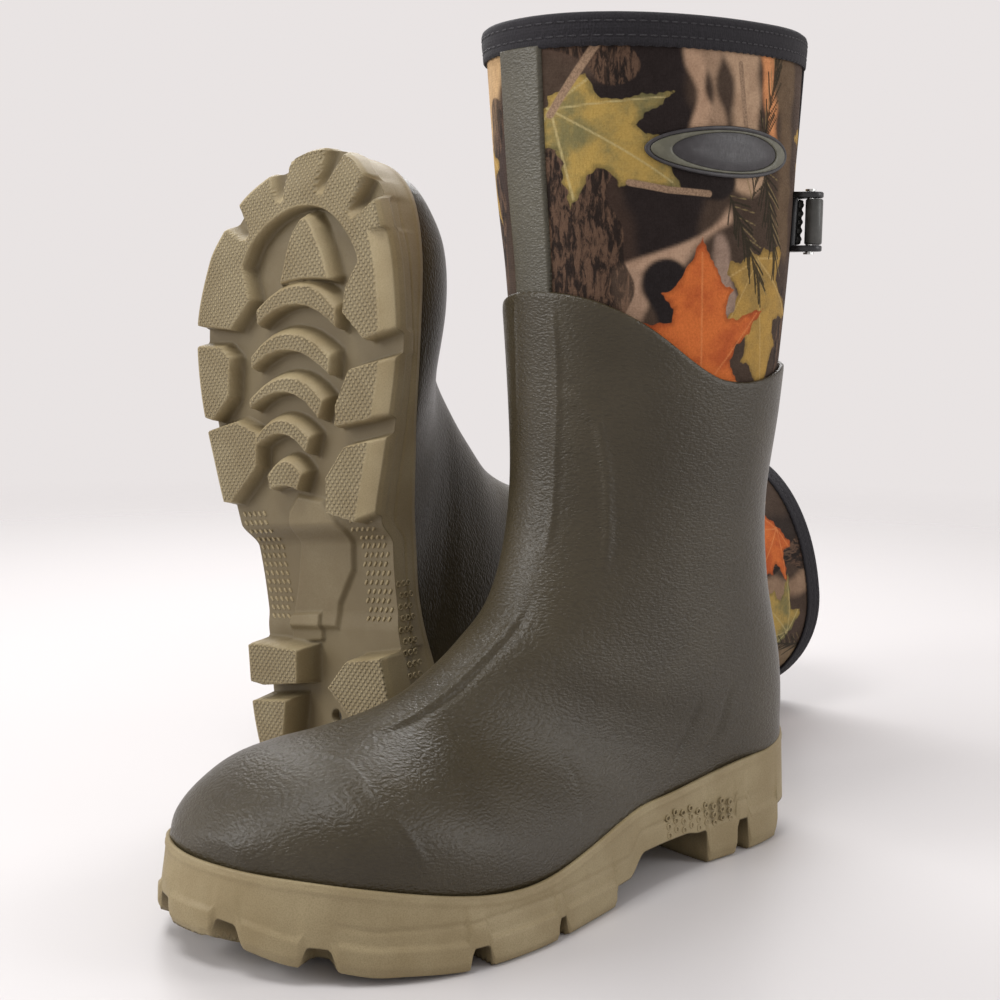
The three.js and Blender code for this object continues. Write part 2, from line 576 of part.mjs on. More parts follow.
function bootPieces() {
  const shellOuter = form(0, shellRim, SHELL_TOP_SECTION);
  const shell = shellOuter.subtract(form(SHELL_WALL));
  const cavity = form(-FIT_GAP);
  const midsole = midsoleBlock(0).subtract(cavity).subtract(shankBlock(FIT_GAP));
  const outsole = makeOutsole(cavity, midsoleBlock(FIT_GAP));
  const top = BOOT_HEIGHT - BINDING_WALL - FIT_GAP;
  const neoprene = form(NEOPRENE_OUTER, top).subtract(form(NEOPRENE_INNER, BOOT_HEIGHT + 8));
  const seam = lift(SLEEVE_SEAM);
  const bootie = neoprene
    .intersect(block(-100, 400, -200, 200, -10, seam - FIT_GAP / 2))
    .subtract(stiffenerPocket(heelRegion))
    .subtract(stiffenerPocket(toeRegion));
  const sleeve = neoprene
    .intersect(block(-100, 400, -200, 200, seam + FIT_GAP / 2, BOOT_HEIGHT + 10))
    .subtract(gussetPrism(FIT_GAP))
    .subtract(rivetHoles());
  const gusset = form(NEOPRENE_OUTER, top)
    .subtract(form(NEOPRENE_INNER - 0.5, BOOT_HEIGHT + 8))
    .intersect(gussetPrism(0))
    .subtract(rivetHoles());
  const pieces = {
    outsole: [outsole, soleTan],
    midsole: [midsole, foam],
    shank: [shankBlock(0), steel],
    shell: [shell, rubberGreen],
    heel_counter: [stiffener(heelRegion), board],
    toe_puff: [stiffener(toeRegion), board],
    bootie: [bootie, foam],
    sleeve: [sleeve, camouflage],
    footbed: [makeFootbed(), foam],
    binding: [makeBinding(), blackWeb],
    front_strip: [makeFrontStrip(), stripGreen],
    calf_gusset: [gusset, blackWeb],
    badge: [makeBadge(), stripGreen],
    calf_strap: [makeStrap(), greyPlastic],
    strap_anchor: [makeAnchor(), blackPlastic],
    buckle_frame: [makeBuckleFrame(), blackPlastic],
    buckle_pin: [makePin(), steel],
    buckle_lever: [makeLever(), greyPlastic],
  };
  rivetPlaces.forEach((high, i) => {
    pieces[`buckle_rivet_${i + 1}`] = [makeRivet(high), steel];
  });
  return Object.entries(pieces);
}

function bootGroup(pieces, side) {
  const group = new THREE.Group();
  for (const [name, [solid, material]] of pieces) {
    const mesh = new THREE.Mesh(toGeometry(solid), material.clone());
    mesh.name = `${name}_${side}`;
    group.add(mesh);
  }
  return group;
}

// ---- The pair ----

const pieces = bootPieces();
const standing = bootGroup(pieces, "left");
const mirrored = bootGroup(pieces, "right");
mirrored.scale.x = -1;

// The right boot tips back a quarter turn onto its heel and shaft, rolls, and swings round.
const lying = new THREE.Group();
lying.add(mirrored);
const tipBack = new THREE.Quaternion().setFromAxisAngle(new THREE.Vector3(1, 0, 0), -Math.PI / 2);
const roll = new THREE.Quaternion().setFromAxisAngle(
  new THREE.Vector3(0, 1, 0),
  -THREE.MathUtils.degToRad(LYING_ROLL),
);
const swing = new THREE.Quaternion().setFromAxisAngle(
  new THREE.Vector3(0, 0, 1),
  THREE.MathUtils.degToRad(LYING_TURN),
);
lying.quaternion.copy(swing).multiply(roll).multiply(tipBack);
lying.position.copy(at(LYING_FORWARD, -LYING_INWARD, 0));
lying.updateMatrixWorld(true);
lying.position.z -= new THREE.Box3().setFromObject(lying, true).min.z;

// The frame's origin is the middle of the pair's footprint, on the ground.
const pair = new THREE.Group();
pair.add(standing, lying);
pair.updateMatrixWorld(true);
const extent = new THREE.Box3().setFromObject(pair, true);
const centre = extent.getCenter(new THREE.Vector3());
pair.position.set(-centre.x, -centre.y, -extent.min.z);

export default pair;
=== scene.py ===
"""A pair of insulated hunting boots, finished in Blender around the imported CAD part.

Each piece is worked out once, in the left boot's own millimetres, and set down twice: standing for the
left boot, and mirrored and lying on its back for the right one. A point is (forward, side, up): forward
from the back of the heel, side positive to the outer side, up from the ground.
"""

import math

import bpy
import numpy as np
from mathutils import Matrix, Vector


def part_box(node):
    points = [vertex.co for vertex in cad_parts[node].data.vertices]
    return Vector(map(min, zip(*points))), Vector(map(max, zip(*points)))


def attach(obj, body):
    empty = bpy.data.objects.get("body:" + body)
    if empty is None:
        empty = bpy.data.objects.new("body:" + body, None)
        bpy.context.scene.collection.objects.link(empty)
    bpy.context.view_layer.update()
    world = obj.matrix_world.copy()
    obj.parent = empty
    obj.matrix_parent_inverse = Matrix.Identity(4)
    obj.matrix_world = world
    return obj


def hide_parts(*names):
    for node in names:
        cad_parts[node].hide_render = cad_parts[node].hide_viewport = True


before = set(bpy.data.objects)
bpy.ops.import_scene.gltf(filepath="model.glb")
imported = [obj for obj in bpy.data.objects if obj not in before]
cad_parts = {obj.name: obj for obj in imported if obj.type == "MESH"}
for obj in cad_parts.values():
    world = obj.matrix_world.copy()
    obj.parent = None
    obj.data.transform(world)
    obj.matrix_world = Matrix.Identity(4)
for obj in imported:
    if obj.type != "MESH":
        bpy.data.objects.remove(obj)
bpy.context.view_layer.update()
MM = 0.001
SIDES = ("left", "right")
rng = np.random.default_rng(7)

# ---------------------------------------------------------------- sizes, in millimetres

SOLE_LENGTH = 303.5
BOOT_HEIGHT = 347.0
SHELL_WALL = 2.4
FIT_GAP = 0.3
NEOPRENE_WALL = 4.5
NEOPRENE_OUTER = SHELL_WALL + FIT_GAP
NEOPRENE_INNER = NEOPRENE_OUTER + NEOPRENE_WALL
FOOT_SPACE = NEOPRENE_INNER + 0.6
FOOTBED_THICKNESS = 5.0
BINDING_HEIGHT = 13.0
LUG_DEPTH = 8.5
HEEL_LUG_DEPTH = 15.0
OUTSOLE_FLOOR = 4.0
FEATHER_SHRINK = 0.955
SHANK = dict(start=28.0, length=88.0, half=8.0, low=19.0, high=20.5)
SHAFT_CENTRE = 61.0
SHAFT_RADIUS = 62.0
LYING_TURN = math.radians(5.4)
LYING_ROLL = math.radians(-6.6)

# Sections from the collar to the toe: top (forward, up), low (forward, up), half widths to the outer and
# inner side, how far up the widest place is, and how square the upper and lower halves are.
SECTIONS = np.array([
    [152, 360, 0, 360, 60, 64.5, 0.41, 2.15, 2],
    [146, 290, 2, 290, 57.5, 60.5, 0.41, 2.1, 2],
    [141, 247, 4, 250, 55.8, 56.5, 0.41, 2.05, 2],
    [138, 198, 8, 194, 52, 52, 0.41, 2, 2],
    [138, 163, 12, 150, 48, 48, 0.41, 2, 2],
    [144.5, 134.5, 8, 112, 46.5, 45, 0.4, 2, 2.15],
    [156, 114, 3, 76, 47, 43, 0.38, 2, 2.7],
    [173, 101, 2, 50, 47, 42, 0.35, 2, 2.9],
    [189.5, 92, 8, 33, 46, 40, 0.25, 2, 2.9],
    [205.5, 85, 45, 30, 44.5, 35, 0.2, 2, 3],
    [222, 80.5, 92, 27, 46, 34.5, 0.2, 2, 3],
    [239, 77, 140, 19, 55.5, 44, 0.22, 2.1, 3.2],
    [254.5, 74, 185, 14.5, 62, 56, 0.25, 2.2, 3.4],
    [268, 70, 225, 14, 59, 58, 0.3, 2.3, 3.2],
    [280, 63.5, 258, 17, 48, 53, 0.35, 2.3, 2.8],
    [289.5, 56, 278, 21, 33, 46, 0.4, 2.2, 2.4],
    [297, 48, 292, 30, 16, 33, 0.45, 2, 2],
])
LAST_SECTION = len(SECTIONS) - 1
SHAFT_SECTIONS = 6  # the rows that make up the shaft, from the collar down
SETTLING_ROUNDS = 12  # rounds in which a point of the shaft is drawn to its turn and height
SECTION_STEP = 0.01
TOE_TIP = np.array([299.0, -11.0, 40.0])
SHELL_RIM = ([0, 55, 86, 105, 120, 150, 168, 180], [214, 210, 204, 203.5, 208, 232, 240.5, 240.5])

# ---------------------------------------------------------------- number helpers


def ease(value, low=0.0, high=1.0):
    """0 below low, 1 above high, smooth between."""
    t = np.clip((value - low) / (high - low), 0, 1)
    return t * t * (3 - 2 * t)


def smooth(knots, values, at):
    """A smooth line through the knots, level at each of them."""
    knots, values, at = np.asarray(knots, float), np.asarray(values, float), np.asarray(at, float)
    i = np.clip(np.searchsorted(knots, at) - 1, 0, len(knots) - 2)
    return values[i] + (values[i + 1] - values[i]) * ease(at, knots[i], knots[i + 1])


def catmull(rows, t, closed=False):
    """A uniform Catmull-Rom curve through rows, at t counted in rows."""
    rows, t = np.asarray(rows, float), np.asarray(t, float)
    count = len(rows)
    i = np.floor(t).astype(int)
    i = i % count if closed else np.clip(i, 0, count - 2)
    x = (t - np.floor(t) if closed else t - i)[..., None]
    pick = (lambda k: rows[k % count]) if closed else (lambda k: rows[np.clip(k, 0, count - 1)])
    a, b, c, d = (pick(i + k) for k in (-1, 0, 1, 2))
    return 0.5 * (2 * b + (c - a) * x + (2 * a - 5 * b + 4 * c - d) * x**2 + (3 * b - a - 3 * c + d) * x**3)


def to_line(points, line, closed=False):
    """Distance from points to a chain of straight pieces, and the nearest place's share of the chain."""
    line = np.asarray(line, float)
    ends = np.roll(line, -1, 0) if closed else line[1:]
    starts = line if closed else line[:-1]
    best = np.full(points.shape[:-1], 1e9)
    place = np.zeros(points.shape[:-1])
    run = 0.0
    for a, b in zip(starts, ends):
        span = b - a
        length = math.sqrt(float(span @ span))
        t = np.clip(((points - a) @ span) / (length * length + 1e-12), 0, 1)
        gap = np.linalg.norm(points - a - t[..., None] * span, axis=-1)
        nearer = gap < best
        place = np.where(nearer, run + t * length, place)
        best = np.where(nearer, gap, best)
        run += length
    return best, place / max(run, 1e-9)


def inside_by(points, outline):
    """Signed distance to a closed flat outline, positive inside."""
    outline = np.asarray(outline, float)
    gap = to_line(points, outline, closed=True)[0]
    x, y = points[..., 0], points[..., 1]
    inside = np.zeros(x.shape, bool)
    for (ax, ay), (bx, by) in zip(outline, np.roll(outline, -1, 0)):
        if ay != by:
            inside ^= ((ay > y) != (by > y)) & (x < ax + (bx - ax) * (y - ay) / (by - ay))
    return np.where(inside, gap, -gap)


# ---------------------------------------------------------------- the form of a boot


def numbers_together(*values):
    """Arrays of one shape from arrays or single numbers."""
    return np.broadcast_arrays(*(np.asarray(value, float) for value in values))


def form(t, angle, inset=0.0):
    """Points on the boot's form at section t, counted in rows, and an angle from the top to the outer side."""
    t, angle, inset = numbers_together(t, angle, inset)
    row = catmull(SECTIONS, t)
    top, low = row[..., 0:2], row[..., 2:4]
    outer, inner, widest, square_top, square_low = (row[..., k] for k in range(4, 9))
    height = np.linalg.norm(top - low, axis=-1)
    along, across = np.cos(angle), np.sin(angle)
    upper = along >= 0
    power = 2 / np.where(upper, square_top, square_low)
    share = 1 - inset / (height * np.where(upper, 1 - widest, widest))
    middle = low + (top - low) * widest[..., None]
    end = np.where(upper[..., None], top, low)
    spot = middle + (end - middle) * (share * np.abs(along) ** power)[..., None]
    half = np.where(across >= 0, outer, inner) - inset
    side = half * np.sign(across) * np.abs(across) ** power
    return np.stack([spot[..., 0], side, spot[..., 1]], -1)


def turn_of(points):
    """Degrees round the shaft from its back towards the outer side."""
    return np.degrees(np.arctan2(points[..., 1], SHAFT_CENTRE - points[..., 0]))


def on_shaft(turn, up, inset=0.0):
    """The point of the shaft at a turn in degrees from its back and at a height."""
    turn, up, inset = numbers_together(turn, up, inset)
    angle = np.pi - np.radians(turn)
    t = np.interp(-up, -SECTIONS[:SHAFT_SECTIONS, 3], np.arange(SHAFT_SECTIONS))
    for _ in range(SETTLING_ROUNDS):
        p = form(t, angle, inset)
        error = (turn - turn_of(p) + 180) % 360 - 180
        angle = angle - np.radians(error)
        ahead = form(t + SECTION_STEP, angle, inset)[..., 2] - p[..., 2]
        t = np.clip(t + SECTION_STEP * (up - p[..., 2]) / np.minimum(ahead, -1e-4), 0, SHAFT_SECTIONS)
    return form(t, angle, inset)


def grid_normals(points, wrap=True):
    """Outward normals of a grid of points whose columns run round the form."""
    down = np.gradient(points, axis=0)
    if wrap:
        around = np.roll(points, -1, 1) - np.roll(points, 1, 1)
    else:
        around = np.gradient(points, axis=1)
    normal = np.cross(down, around)
    return normal / np.maximum(np.linalg.norm(normal, axis=-1, keepdims=True), 1e-9)


def grid_faces(rows, columns, wrap=True, start=0):
    """Four-sided faces over a grid of points."""
    r = np.arange(rows - 1)[:, None]
    c = np.arange(columns if wrap else columns - 1)[None, :]
    d = (c + 1) % columns
    quad = np.stack([r * columns + c, (r + 1) * columns + c, (r + 1) * columns + d, r * columns + d], -1)
    return quad.reshape(-1, 4) + start


def closing_faces(rows, columns):
    """Faces that join a grid's last row to its first."""
    c = np.arange(columns)
    d = (c + 1) % columns
    return np.stack([(rows - 1) * columns + c, c, d, (rows - 1) * columns + d], -1)


def end_face(rows, columns):
    """One face over a grid's last row."""
    return (rows - 1) * columns + np.arange(columns)[None, ::-1]


def border_faces(rows, columns):
    """Faces round the border of a grid, joining it to a second one whose points follow its own."""
    border = np.concatenate([
        np.arange(columns),
        np.arange(1, rows) * columns + columns - 1,
        (rows - 1) * columns + np.arange(columns - 1)[::-1],
        np.arange(rows - 1)[:0:-1] * columns,
    ])
    onward = np.roll(border, -1)
    count = rows * columns
    return np.stack([border, onward, onward + count, border + count], -1)


# ---------------------------------------------------------------- setting pieces down

shank_low, shank_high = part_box("shank_left")
ORIGIN = np.array([(shank_low.x + shank_high.x) / 2 / MM, shank_high.y / MM + SHANK["start"], 0.0])
LIE = np.array(Matrix.Rotation(LYING_TURN, 3, "Z") @ Matrix.Rotation(LYING_ROLL, 3, "Y"))


def lying(points):
    """The right boot's turn: mirrored, toe up, sole to the front."""
    return np.stack([-points[..., 1], points[..., 2], points[..., 0]], -1) @ LIE.T


shank_ends = [SHANK["start"], SHANK["start"] + SHANK["length"]]
shank_corners = np.array([
    [forward, side, up]
    for forward in shank_ends
    for side in (-SHANK["half"], SHANK["half"])
    for up in (SHANK["low"], SHANK["high"])
])
shank_low, shank_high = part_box("shank_right")
RIGHT_ORIGIN = (np.array(shank_low) + np.array(shank_high)) / 2 / MM - (
    lying(shank_corners).min(0) + lying(shank_corners).max(0)
) / 2


def place(points, side):
    """Boot millimetres to the row's metres."""
    if side == "left":
        return (np.stack([points[..., 1], -points[..., 0], points[..., 2]], -1) + ORIGIN) * MM
    return (lying(points) + RIGHT_ORIGIN) * MM


def new_object(name, points, faces, material, values):
    """A smooth mesh from points in metres and a list of face arrays, with named numbers on its points."""
    mesh = bpy.data.meshes.new(name)
    mesh.vertices.add(len(points))
    mesh.vertices.foreach_set("co", points.astype(np.float32).ravel())
    loops = np.concatenate([f.ravel() for f in faces])
    sizes = np.concatenate([np.full(len(f), f.shape[1]) for f in faces])
    mesh.loops.add(len(loops))
    mesh.loops.foreach_set("vertex_index", loops.astype(np.int32))
    mesh.polygons.add(len(sizes))
    mesh.polygons.foreach_set("loop_start", (np.cumsum(sizes) - sizes).astype(np.int32))
    mesh.polygons.foreach_set("use_smooth", np.ones(len(sizes), bool))
    for key, value in values.items():
        kind = "FLOAT_VECTOR" if value.ndim == 2 else "FLOAT"
        data = mesh.attributes.new(key, kind, "POINT").data
        data.foreach_set("vector" if value.ndim == 2 else "value", value.astype(np.float32).ravel())
    mesh.update(calc_edges=True)
    mesh.validate()
    mesh.materials.append(material)
    obj = bpy.data.objects.new(name, mesh)
    bpy.context.scene.collection.objects.link(obj)
    return obj


def both(name, shape, material, nodes=(), body="boot"):
    """One piece of each boot. shape is points in boot millimetres, faces, and named numbers on the points."""
    points, faces, values = shape
    for side in SIDES:
        turned = faces if side == "left" else [f[:, ::-1] for f in faces]
        numbers = dict(values, form=points)
        obj = new_object(f"{name}_{side}", place(points, side), turned, material, numbers)
        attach(obj, f"{body}_{side}")
        for node in nodes:
            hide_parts(f"{node}_{side}")


def join(shapes):
    """Several shapes as one."""
    points, faces, count = [], [], 0
    for shape in shapes:
        points.append(shape[0])
        faces += [f + count for f in shape[1]]
        count += len(shape[0])
    return np.concatenate(points), faces, {}


def sweep(path, across, up, profile, closed=True):
    """A profile of (across, up) points carried along a path, with both directions given at its points."""
    p = path[:, None] + across[:, None] * profile[None, :, :1] + up[:, None] * profile[None, :, 1:]
    rows, columns = p.shape[:2]
    faces = [grid_faces(rows, columns)]
    if closed:
        faces.append(closing_faces(rows, columns))
    else:
        faces += [np.arange(columns)[None, :], end_face(rows, columns)]
    return p.reshape(-1, 3), faces, {}


def pill(start, end, radius, normal, lift=1.0, rings=5, around=8):
    """A small rounded bar lying on a surface, such as a stitch or a moulded dash."""
    along = end - start
    length = np.linalg.norm(along)
    along = along / length
    side = np.cross(normal, along)
    turn = np.linspace(0, 2 * np.pi, around, endpoint=False)
    spots, sizes = [], []
    for k in range(rings):
        a = np.pi * (k + 0.5) / rings
        spots.append(-math.cos(a) * (length / 2 + radius * 0.6))
        sizes.append(radius * math.sin(a) ** 0.5)
    middle = (start + end) / 2
    circle = np.cos(turn)[:, None] * side + np.sin(turn)[:, None] * normal * lift
    points = np.concatenate([middle + along * spot + circle * size for spot, size in zip(spots, sizes)])
    caps = [np.arange(around)[None, ::-1], (rings - 1) * around + np.arange(around)[None, :]]
    return points, [grid_faces(rings, around)] + caps, {}


# ---------------------------------------------------------------- materials


class Look:
    """The nodes of one material. Patterns are laid out in the boot's own millimetres, or in the object's."""

    def __init__(self, name, colour, roughness, on_boot=True, **sockets):
        self.material = bpy.data.materials.new(name)
        self.material.use_nodes = True
        self.nodes = self.material.node_tree.nodes
        self.links = self.material.node_tree.links
        self.shader = self.nodes["Principled BSDF"]
        self.shader.inputs["Base Color"].default_value = (*colour, 1)
        self.shader.inputs["Roughness"].default_value = roughness
        for socket, value in sockets.items():
            self.shader.inputs[socket.replace("_", " ")].default_value = value
        if on_boot:
            self.place = self.number("form", "Vector")
        else:
            found = self.node("ShaderNodeTexCoord").outputs["Object"]
            self.place = self.vector("SCALE", found, scale=1 / MM)

    def node(self, kind, **settings):
        made = self.nodes.new(kind)
        for key, value in settings.items():
            setattr(made, key, value)
        return made

    def put(self, socket, value):
        if isinstance(value, bpy.types.NodeSocket):
            self.links.new(value, socket)
        else:
            socket.default_value = value

    def number(self, name, output="Fac"):
        return self.node("ShaderNodeAttribute", attribute_name=name).outputs[output]

    def vector(self, operation, a, b=None, scale=None):
        made = self.node("ShaderNodeVectorMath", operation=operation)
        self.put(made.inputs[0], a)
        if b is not None:
            self.put(made.inputs[1], b)
        if scale is not None:
            self.put(made.inputs["Scale"], scale)
        return made.outputs["Vector"]

    def math(self, operation, a, b=0.0, clamp=False):
        made = self.node("ShaderNodeMath", operation=operation, use_clamp=clamp)
        self.put(made.inputs[0], a)
        self.put(made.inputs[1], b)
        return made.outputs[0]

    def spread(self, stretch):
        """The place with each axis stretched by its share, so that a pattern is drawn out along it."""
        return self.vector("MULTIPLY", self.place, tuple(1 / s for s in stretch))

    def noise(self, size, detail=2.0, roughness=0.5, place=None, distortion=0.0):
        made = self.node("ShaderNodeTexNoise")
        self.put(made.inputs["Vector"], self.place if place is None else place)
        made.inputs["Scale"].default_value = 1 / size
        made.inputs["Detail"].default_value = detail
        made.inputs["Roughness"].default_value = roughness
        made.inputs["Distortion"].default_value = distortion
        return made.outputs["Fac"]

    def cells(self, size, place=None, feature="F1", randomness=1.0, output="Distance"):
        made = self.node("ShaderNodeTexVoronoi", feature=feature)
        self.put(made.inputs["Vector"], self.place if place is None else place)
        made.inputs["Scale"].default_value = 1 / size
        made.inputs["Randomness"].default_value = randomness
        return made.outputs[output]

    def range(self, value, low, high, to_low=0.0, to_high=1.0):
        made = self.node("ShaderNodeMapRange", interpolation_type="SMOOTHSTEP")
        self.put(made.inputs["Value"], value)
        ends = {"From Min": low, "From Max": high, "To Min": to_low, "To Max": to_high}
        for socket, number in ends.items():
            made.inputs[socket].default_value = number
        return made.outputs["Result"]

    def mix(self, share, a, b, blend="MIX"):
        made = self.node("ShaderNodeMix", data_type="RGBA", blend_type=blend)
        self.put(made.inputs["Factor"], share)
        for socket, value in ((made.inputs[6], a), (made.inputs[7], b)):
            self.put(socket, (*value, 1) if isinstance(value, tuple) and len(value) == 3 else value)
        return made.outputs[2]

    def colour(self, value):
        self.put(self.shader.inputs["Base Color"], value)

    def roughness(self, value):
        self.put(self.shader.inputs["Roughness"], value)

    def bump(self, *layers):
        """Raises the surface by each (height from 0 to 1, millimetres)."""
        normal = None
        for height, depth in layers:
            made = self.node("ShaderNodeBump")
            made.inputs["Strength"].default_value = 1.0
            made.inputs["Distance"].default_value = depth * MM
            self.put(made.inputs["Height"], height)
            if normal:
                self.links.new(normal, made.inputs["Normal"])
            normal = made.outputs["Normal"]
        self.links.new(normal, self.shader.inputs["Normal"])


def shell_look(name, colour, light, grain):
    """Satin moulded rubber with a leather-like grain of ripples that run round the boot."""
    look = Look(name, colour, 0.4, Specular_IOR_Level=0.4)
    drift = look.node("ShaderNodeTexNoise")
    look.put(drift.inputs["Vector"], look.place)
    drift.inputs["Scale"].default_value = 1 / 5
    warp = look.vector("SCALE", drift.outputs["Color"], scale=1.8)
    place = look.vector("ADD", look.spread((1.5, 1.5, 0.75)), warp)
    ripple = look.cells(grain, place, feature="SMOOTH_F1")
    fine = look.noise(grain * 0.55, 3, 0.6)
    broad = look.noise(38, 2)
    tone = look.mix(look.range(broad, 0.3, 0.7), colour, light)
    tone = look.mix(look.range(ripple, 0.3, 0.8, 0, 0.3), tone, tuple(0.6 * c for c in colour))
    look.colour(tone)
    look.roughness(look.range(fine, 0.3, 0.7, 0.29, 0.42))
    look.bump((ripple, -0.3), (fine, 0.16))
    return look.material


def sole_look():
    """Matte tan rubber, knurled where the tread meets the ground, with painted shade in recesses and knurl
    grooves.
    """
    tan, pale, shade = (0.245, 0.188, 0.096), (0.31, 0.25, 0.14), (0.05, 0.034, 0.014)
    look = Look("tan_sole_rubber", tan, 0.62, Specular_IOR_Level=0.4)
    tread = look.number("tread")
    deep = look.number("recess")
    turned = look.node("ShaderNodeVectorRotate", rotation_type="Z_AXIS")
    look.put(turned.inputs["Vector"], look.vector("MULTIPLY", look.place, (1.0, 1.0, 0.0)))
    turned.inputs["Angle"].default_value = math.radians(45)
    knurl = look.cells(2.2, turned.outputs["Vector"], randomness=0.0)
    knurl = look.math("MULTIPLY", look.range(knurl, 0.14, 0.5), tread)
    speck = look.noise(0.5, 2, 0.6)
    broad = look.noise(24, 3)
    tone = look.mix(look.range(broad, 0.3, 0.72), tan, pale)
    tone = look.mix(look.range(speck, 0.35, 0.7, 0, 0.4), tone, tuple(0.72 * c for c in tan))
    # Painted shade: the recesses between the lugs darken towards a dark brown, more the deeper they lie.
    tone = look.mix(look.range(deep, 0.1, 1.0, 0, 0.62), tone, shade)
    # Painted shade: the grooves between the knurl's cells on the lugs' faces are darkened.
    tone = look.mix(look.math("MULTIPLY", knurl, 0.5), tone, tuple(0.4 * c for c in tan))
    look.colour(tone)
    look.roughness(look.range(speck, 0.3, 0.7, 0.52, 0.7))
    look.bump((knurl, -0.8), (speck, 0.06))
    return look.material


def knit_look(name, colour, light, rough=0.9, sheen=0.15, size=0.7, on_boot=True):
    """A stretch knit face: rows of small stitches."""
    look = Look(name, colour, rough, on_boot, Specular_IOR_Level=0.25)
    look.shader.inputs["Sheen Weight"].default_value = sheen
    look.shader.inputs["Sheen Roughness"].default_value = 0.5
    stitch = look.cells(size, look.spread((1, 1, 1.4)), randomness=0.35)
    fluff = look.noise(size * 0.8, 3, 0.65)
    look.colour(look.mix(look.range(fluff, 0.35, 0.7), colour, light))
    look.roughness(look.range(fluff, 0.3, 0.7, rough - 0.08, min(rough + 0.05, 1)))
    look.bump((stitch, -0.25), (fluff, 0.1))
    return look.material


def plastic_look(name, colour, rough, on_boot=True, metallic=0.0):
    """Fine moulded plastic, or brushed steel when metallic."""
    look = Look(name, colour, rough, on_boot, Metallic=metallic)
    scratch = look.noise(0.35, 3, 0.6, look.spread((1, 1, 6)))
    wear = look.noise(3.5, 2)
    worn = tuple(min(1.6 * c + 0.01, 1) for c in colour)
    look.colour(look.mix(look.range(wear, 0.4, 0.75, 0, 0.5), colour, worn))
    look.roughness(look.range(scratch, 0.3, 0.7, rough - 0.07, rough + 0.1))
    look.bump((scratch, 0.03),)
    return look.material


def camo_look():
    """Printed knit: a blurred woodland ground, with crisp bark, leaves, twigs and needles over it."""
    look = Look("camo_neoprene_print", (0.1, 0.06, 0.04), 0.88, Specular_IOR_Level=0.12)
    look.shader.inputs["Sheen Weight"].default_value = 0.03
    look.shader.inputs["Sheen Roughness"].default_value = 0.5
    dot = look.noise(0.9, 3, 0.7)
    patch = look.noise(7, 4, 0.65, distortion=0.6)
    bark = look.noise(2.6, 4, 0.7, look.spread((1, 1, 3.5)), 0.5)
    tone = look.number("ground", "Color")
    darker = look.mix(1.0, tone, (0.42, 0.36, 0.33), "MULTIPLY")
    tone = look.mix(look.range(patch, 0.35, 0.7, 0.0, 0.35), tone, darker)
    rough_bark = look.mix(look.range(bark, 0.42, 0.6), (0.016, 0.011, 0.009), (0.125, 0.074, 0.048))
    tone = look.mix(look.range(look.number("bark"), 0.2, 0.8, 0, 0.85), tone, rough_bark)
    for name, skin, blush, vein in LEAF_COLOURS:
        depth = look.number(name)
        spots = look.range(look.noise(17, 4, 0.6), 0.38, 0.66)
        leaf = look.mix(spots, skin, blush)
        leaf = look.mix(look.range(depth, 0.2, 2.2, 0.45, 0), leaf, tuple(0.4 * c for c in blush))
        leaf = look.mix(look.range(look.number(name + "_vein"), 0.1, 0.75, 0.7, 0), leaf, vein)
        tone = look.mix(look.range(depth, -0.25, 0.3), tone, leaf)
    tone = look.mix(look.range(look.number("needle_light"), 0.15, 0.5, 0.75, 0), tone, (0.21, 0.16, 0.075))
    tone = look.mix(look.range(look.number("needles"), 0.3, 0.6, 0.9, 0), tone, (0.026, 0.021, 0.012))
    twig = look.mix(look.range(dot, 0.4, 0.6), (0.2, 0.13, 0.085), (0.34, 0.23, 0.15))
    tone = look.mix(look.range(look.number("twigs"), 1.0, 1.6, 1, 0), tone, twig)
    darker = look.mix(1.0, tone, (0.5, 0.47, 0.45), "MULTIPLY")
    tone = look.mix(look.range(dot, 0.3, 0.75, 0.0, 0.4), tone, darker)
    look.colour(tone)
    look.roughness(look.range(dot, 0.3, 0.7, 0.8, 0.95))
    look.bump((look.cells(0.75, look.spread((1, 1, 1.3)), randomness=0.35), -0.16), (dot, 0.06))
    return look.material


# Each kind of printed leaf: skin, blush and vein colours.
LEAF_COLOURS = (
    ("yellow_leaf", (0.40, 0.245, 0.062), (0.27, 0.175, 0.055), (0.48, 0.33, 0.13)),
    ("green_leaf", (0.40, 0.27, 0.075), (0.17, 0.15, 0.065), (0.46, 0.38, 0.18)),
    ("orange_leaf", (0.56, 0.145, 0.036), (0.40, 0.085, 0.024), (0.62, 0.22, 0.075)),
)

SHELL = shell_look("olive_shell_rubber", (0.034, 0.0255, 0.0115), (0.045, 0.035, 0.018), 1.1)
STRIP = shell_look("olive_strip_rubber", (0.060, 0.053, 0.036), (0.078, 0.070, 0.048), 1.0)
SOLE = sole_look()
CAMO = camo_look()
BLACK_KNIT = knit_look("black_stretch_knit", (0.011, 0.01, 0.012), (0.028, 0.026, 0.031))
TAPE = knit_look("black_binding_tape", (0.009, 0.008, 0.010), (0.022, 0.020, 0.024), 0.85, 0.05, 0.9)
THREAD = knit_look("dark_thread", (0.018, 0.016, 0.019), (0.045, 0.042, 0.048), 0.6, 0.1, 0.3)
LINING = knit_look("dark_fleece_lining", (0.024, 0.024, 0.027), (0.06, 0.06, 0.065), 0.95, 0.4, 1.3)
FOOT_FOAM = knit_look("grey_footbed_cloth", (0.10, 0.10, 0.105), (0.2, 0.2, 0.205), 0.95, 0.3, 1.0)
STRAP = plastic_look("dark_strap_rubber", (0.03, 0.03, 0.027), 0.55)
BUCKLE = plastic_look("black_buckle_plastic", (0.011, 0.011, 0.012), 0.36)
LEVER = plastic_look("grey_lever_plastic", (0.05, 0.05, 0.045), 0.4)
BADGE_FIELD = plastic_look("badge_dark_field", (0.022, 0.019, 0.021), 0.45)
BADGE_RING = plastic_look("badge_olive_ring", (0.085, 0.082, 0.055), 0.42)
STEEL = plastic_look("steel", (0.45, 0.45, 0.44), 0.3, False, 1.0)
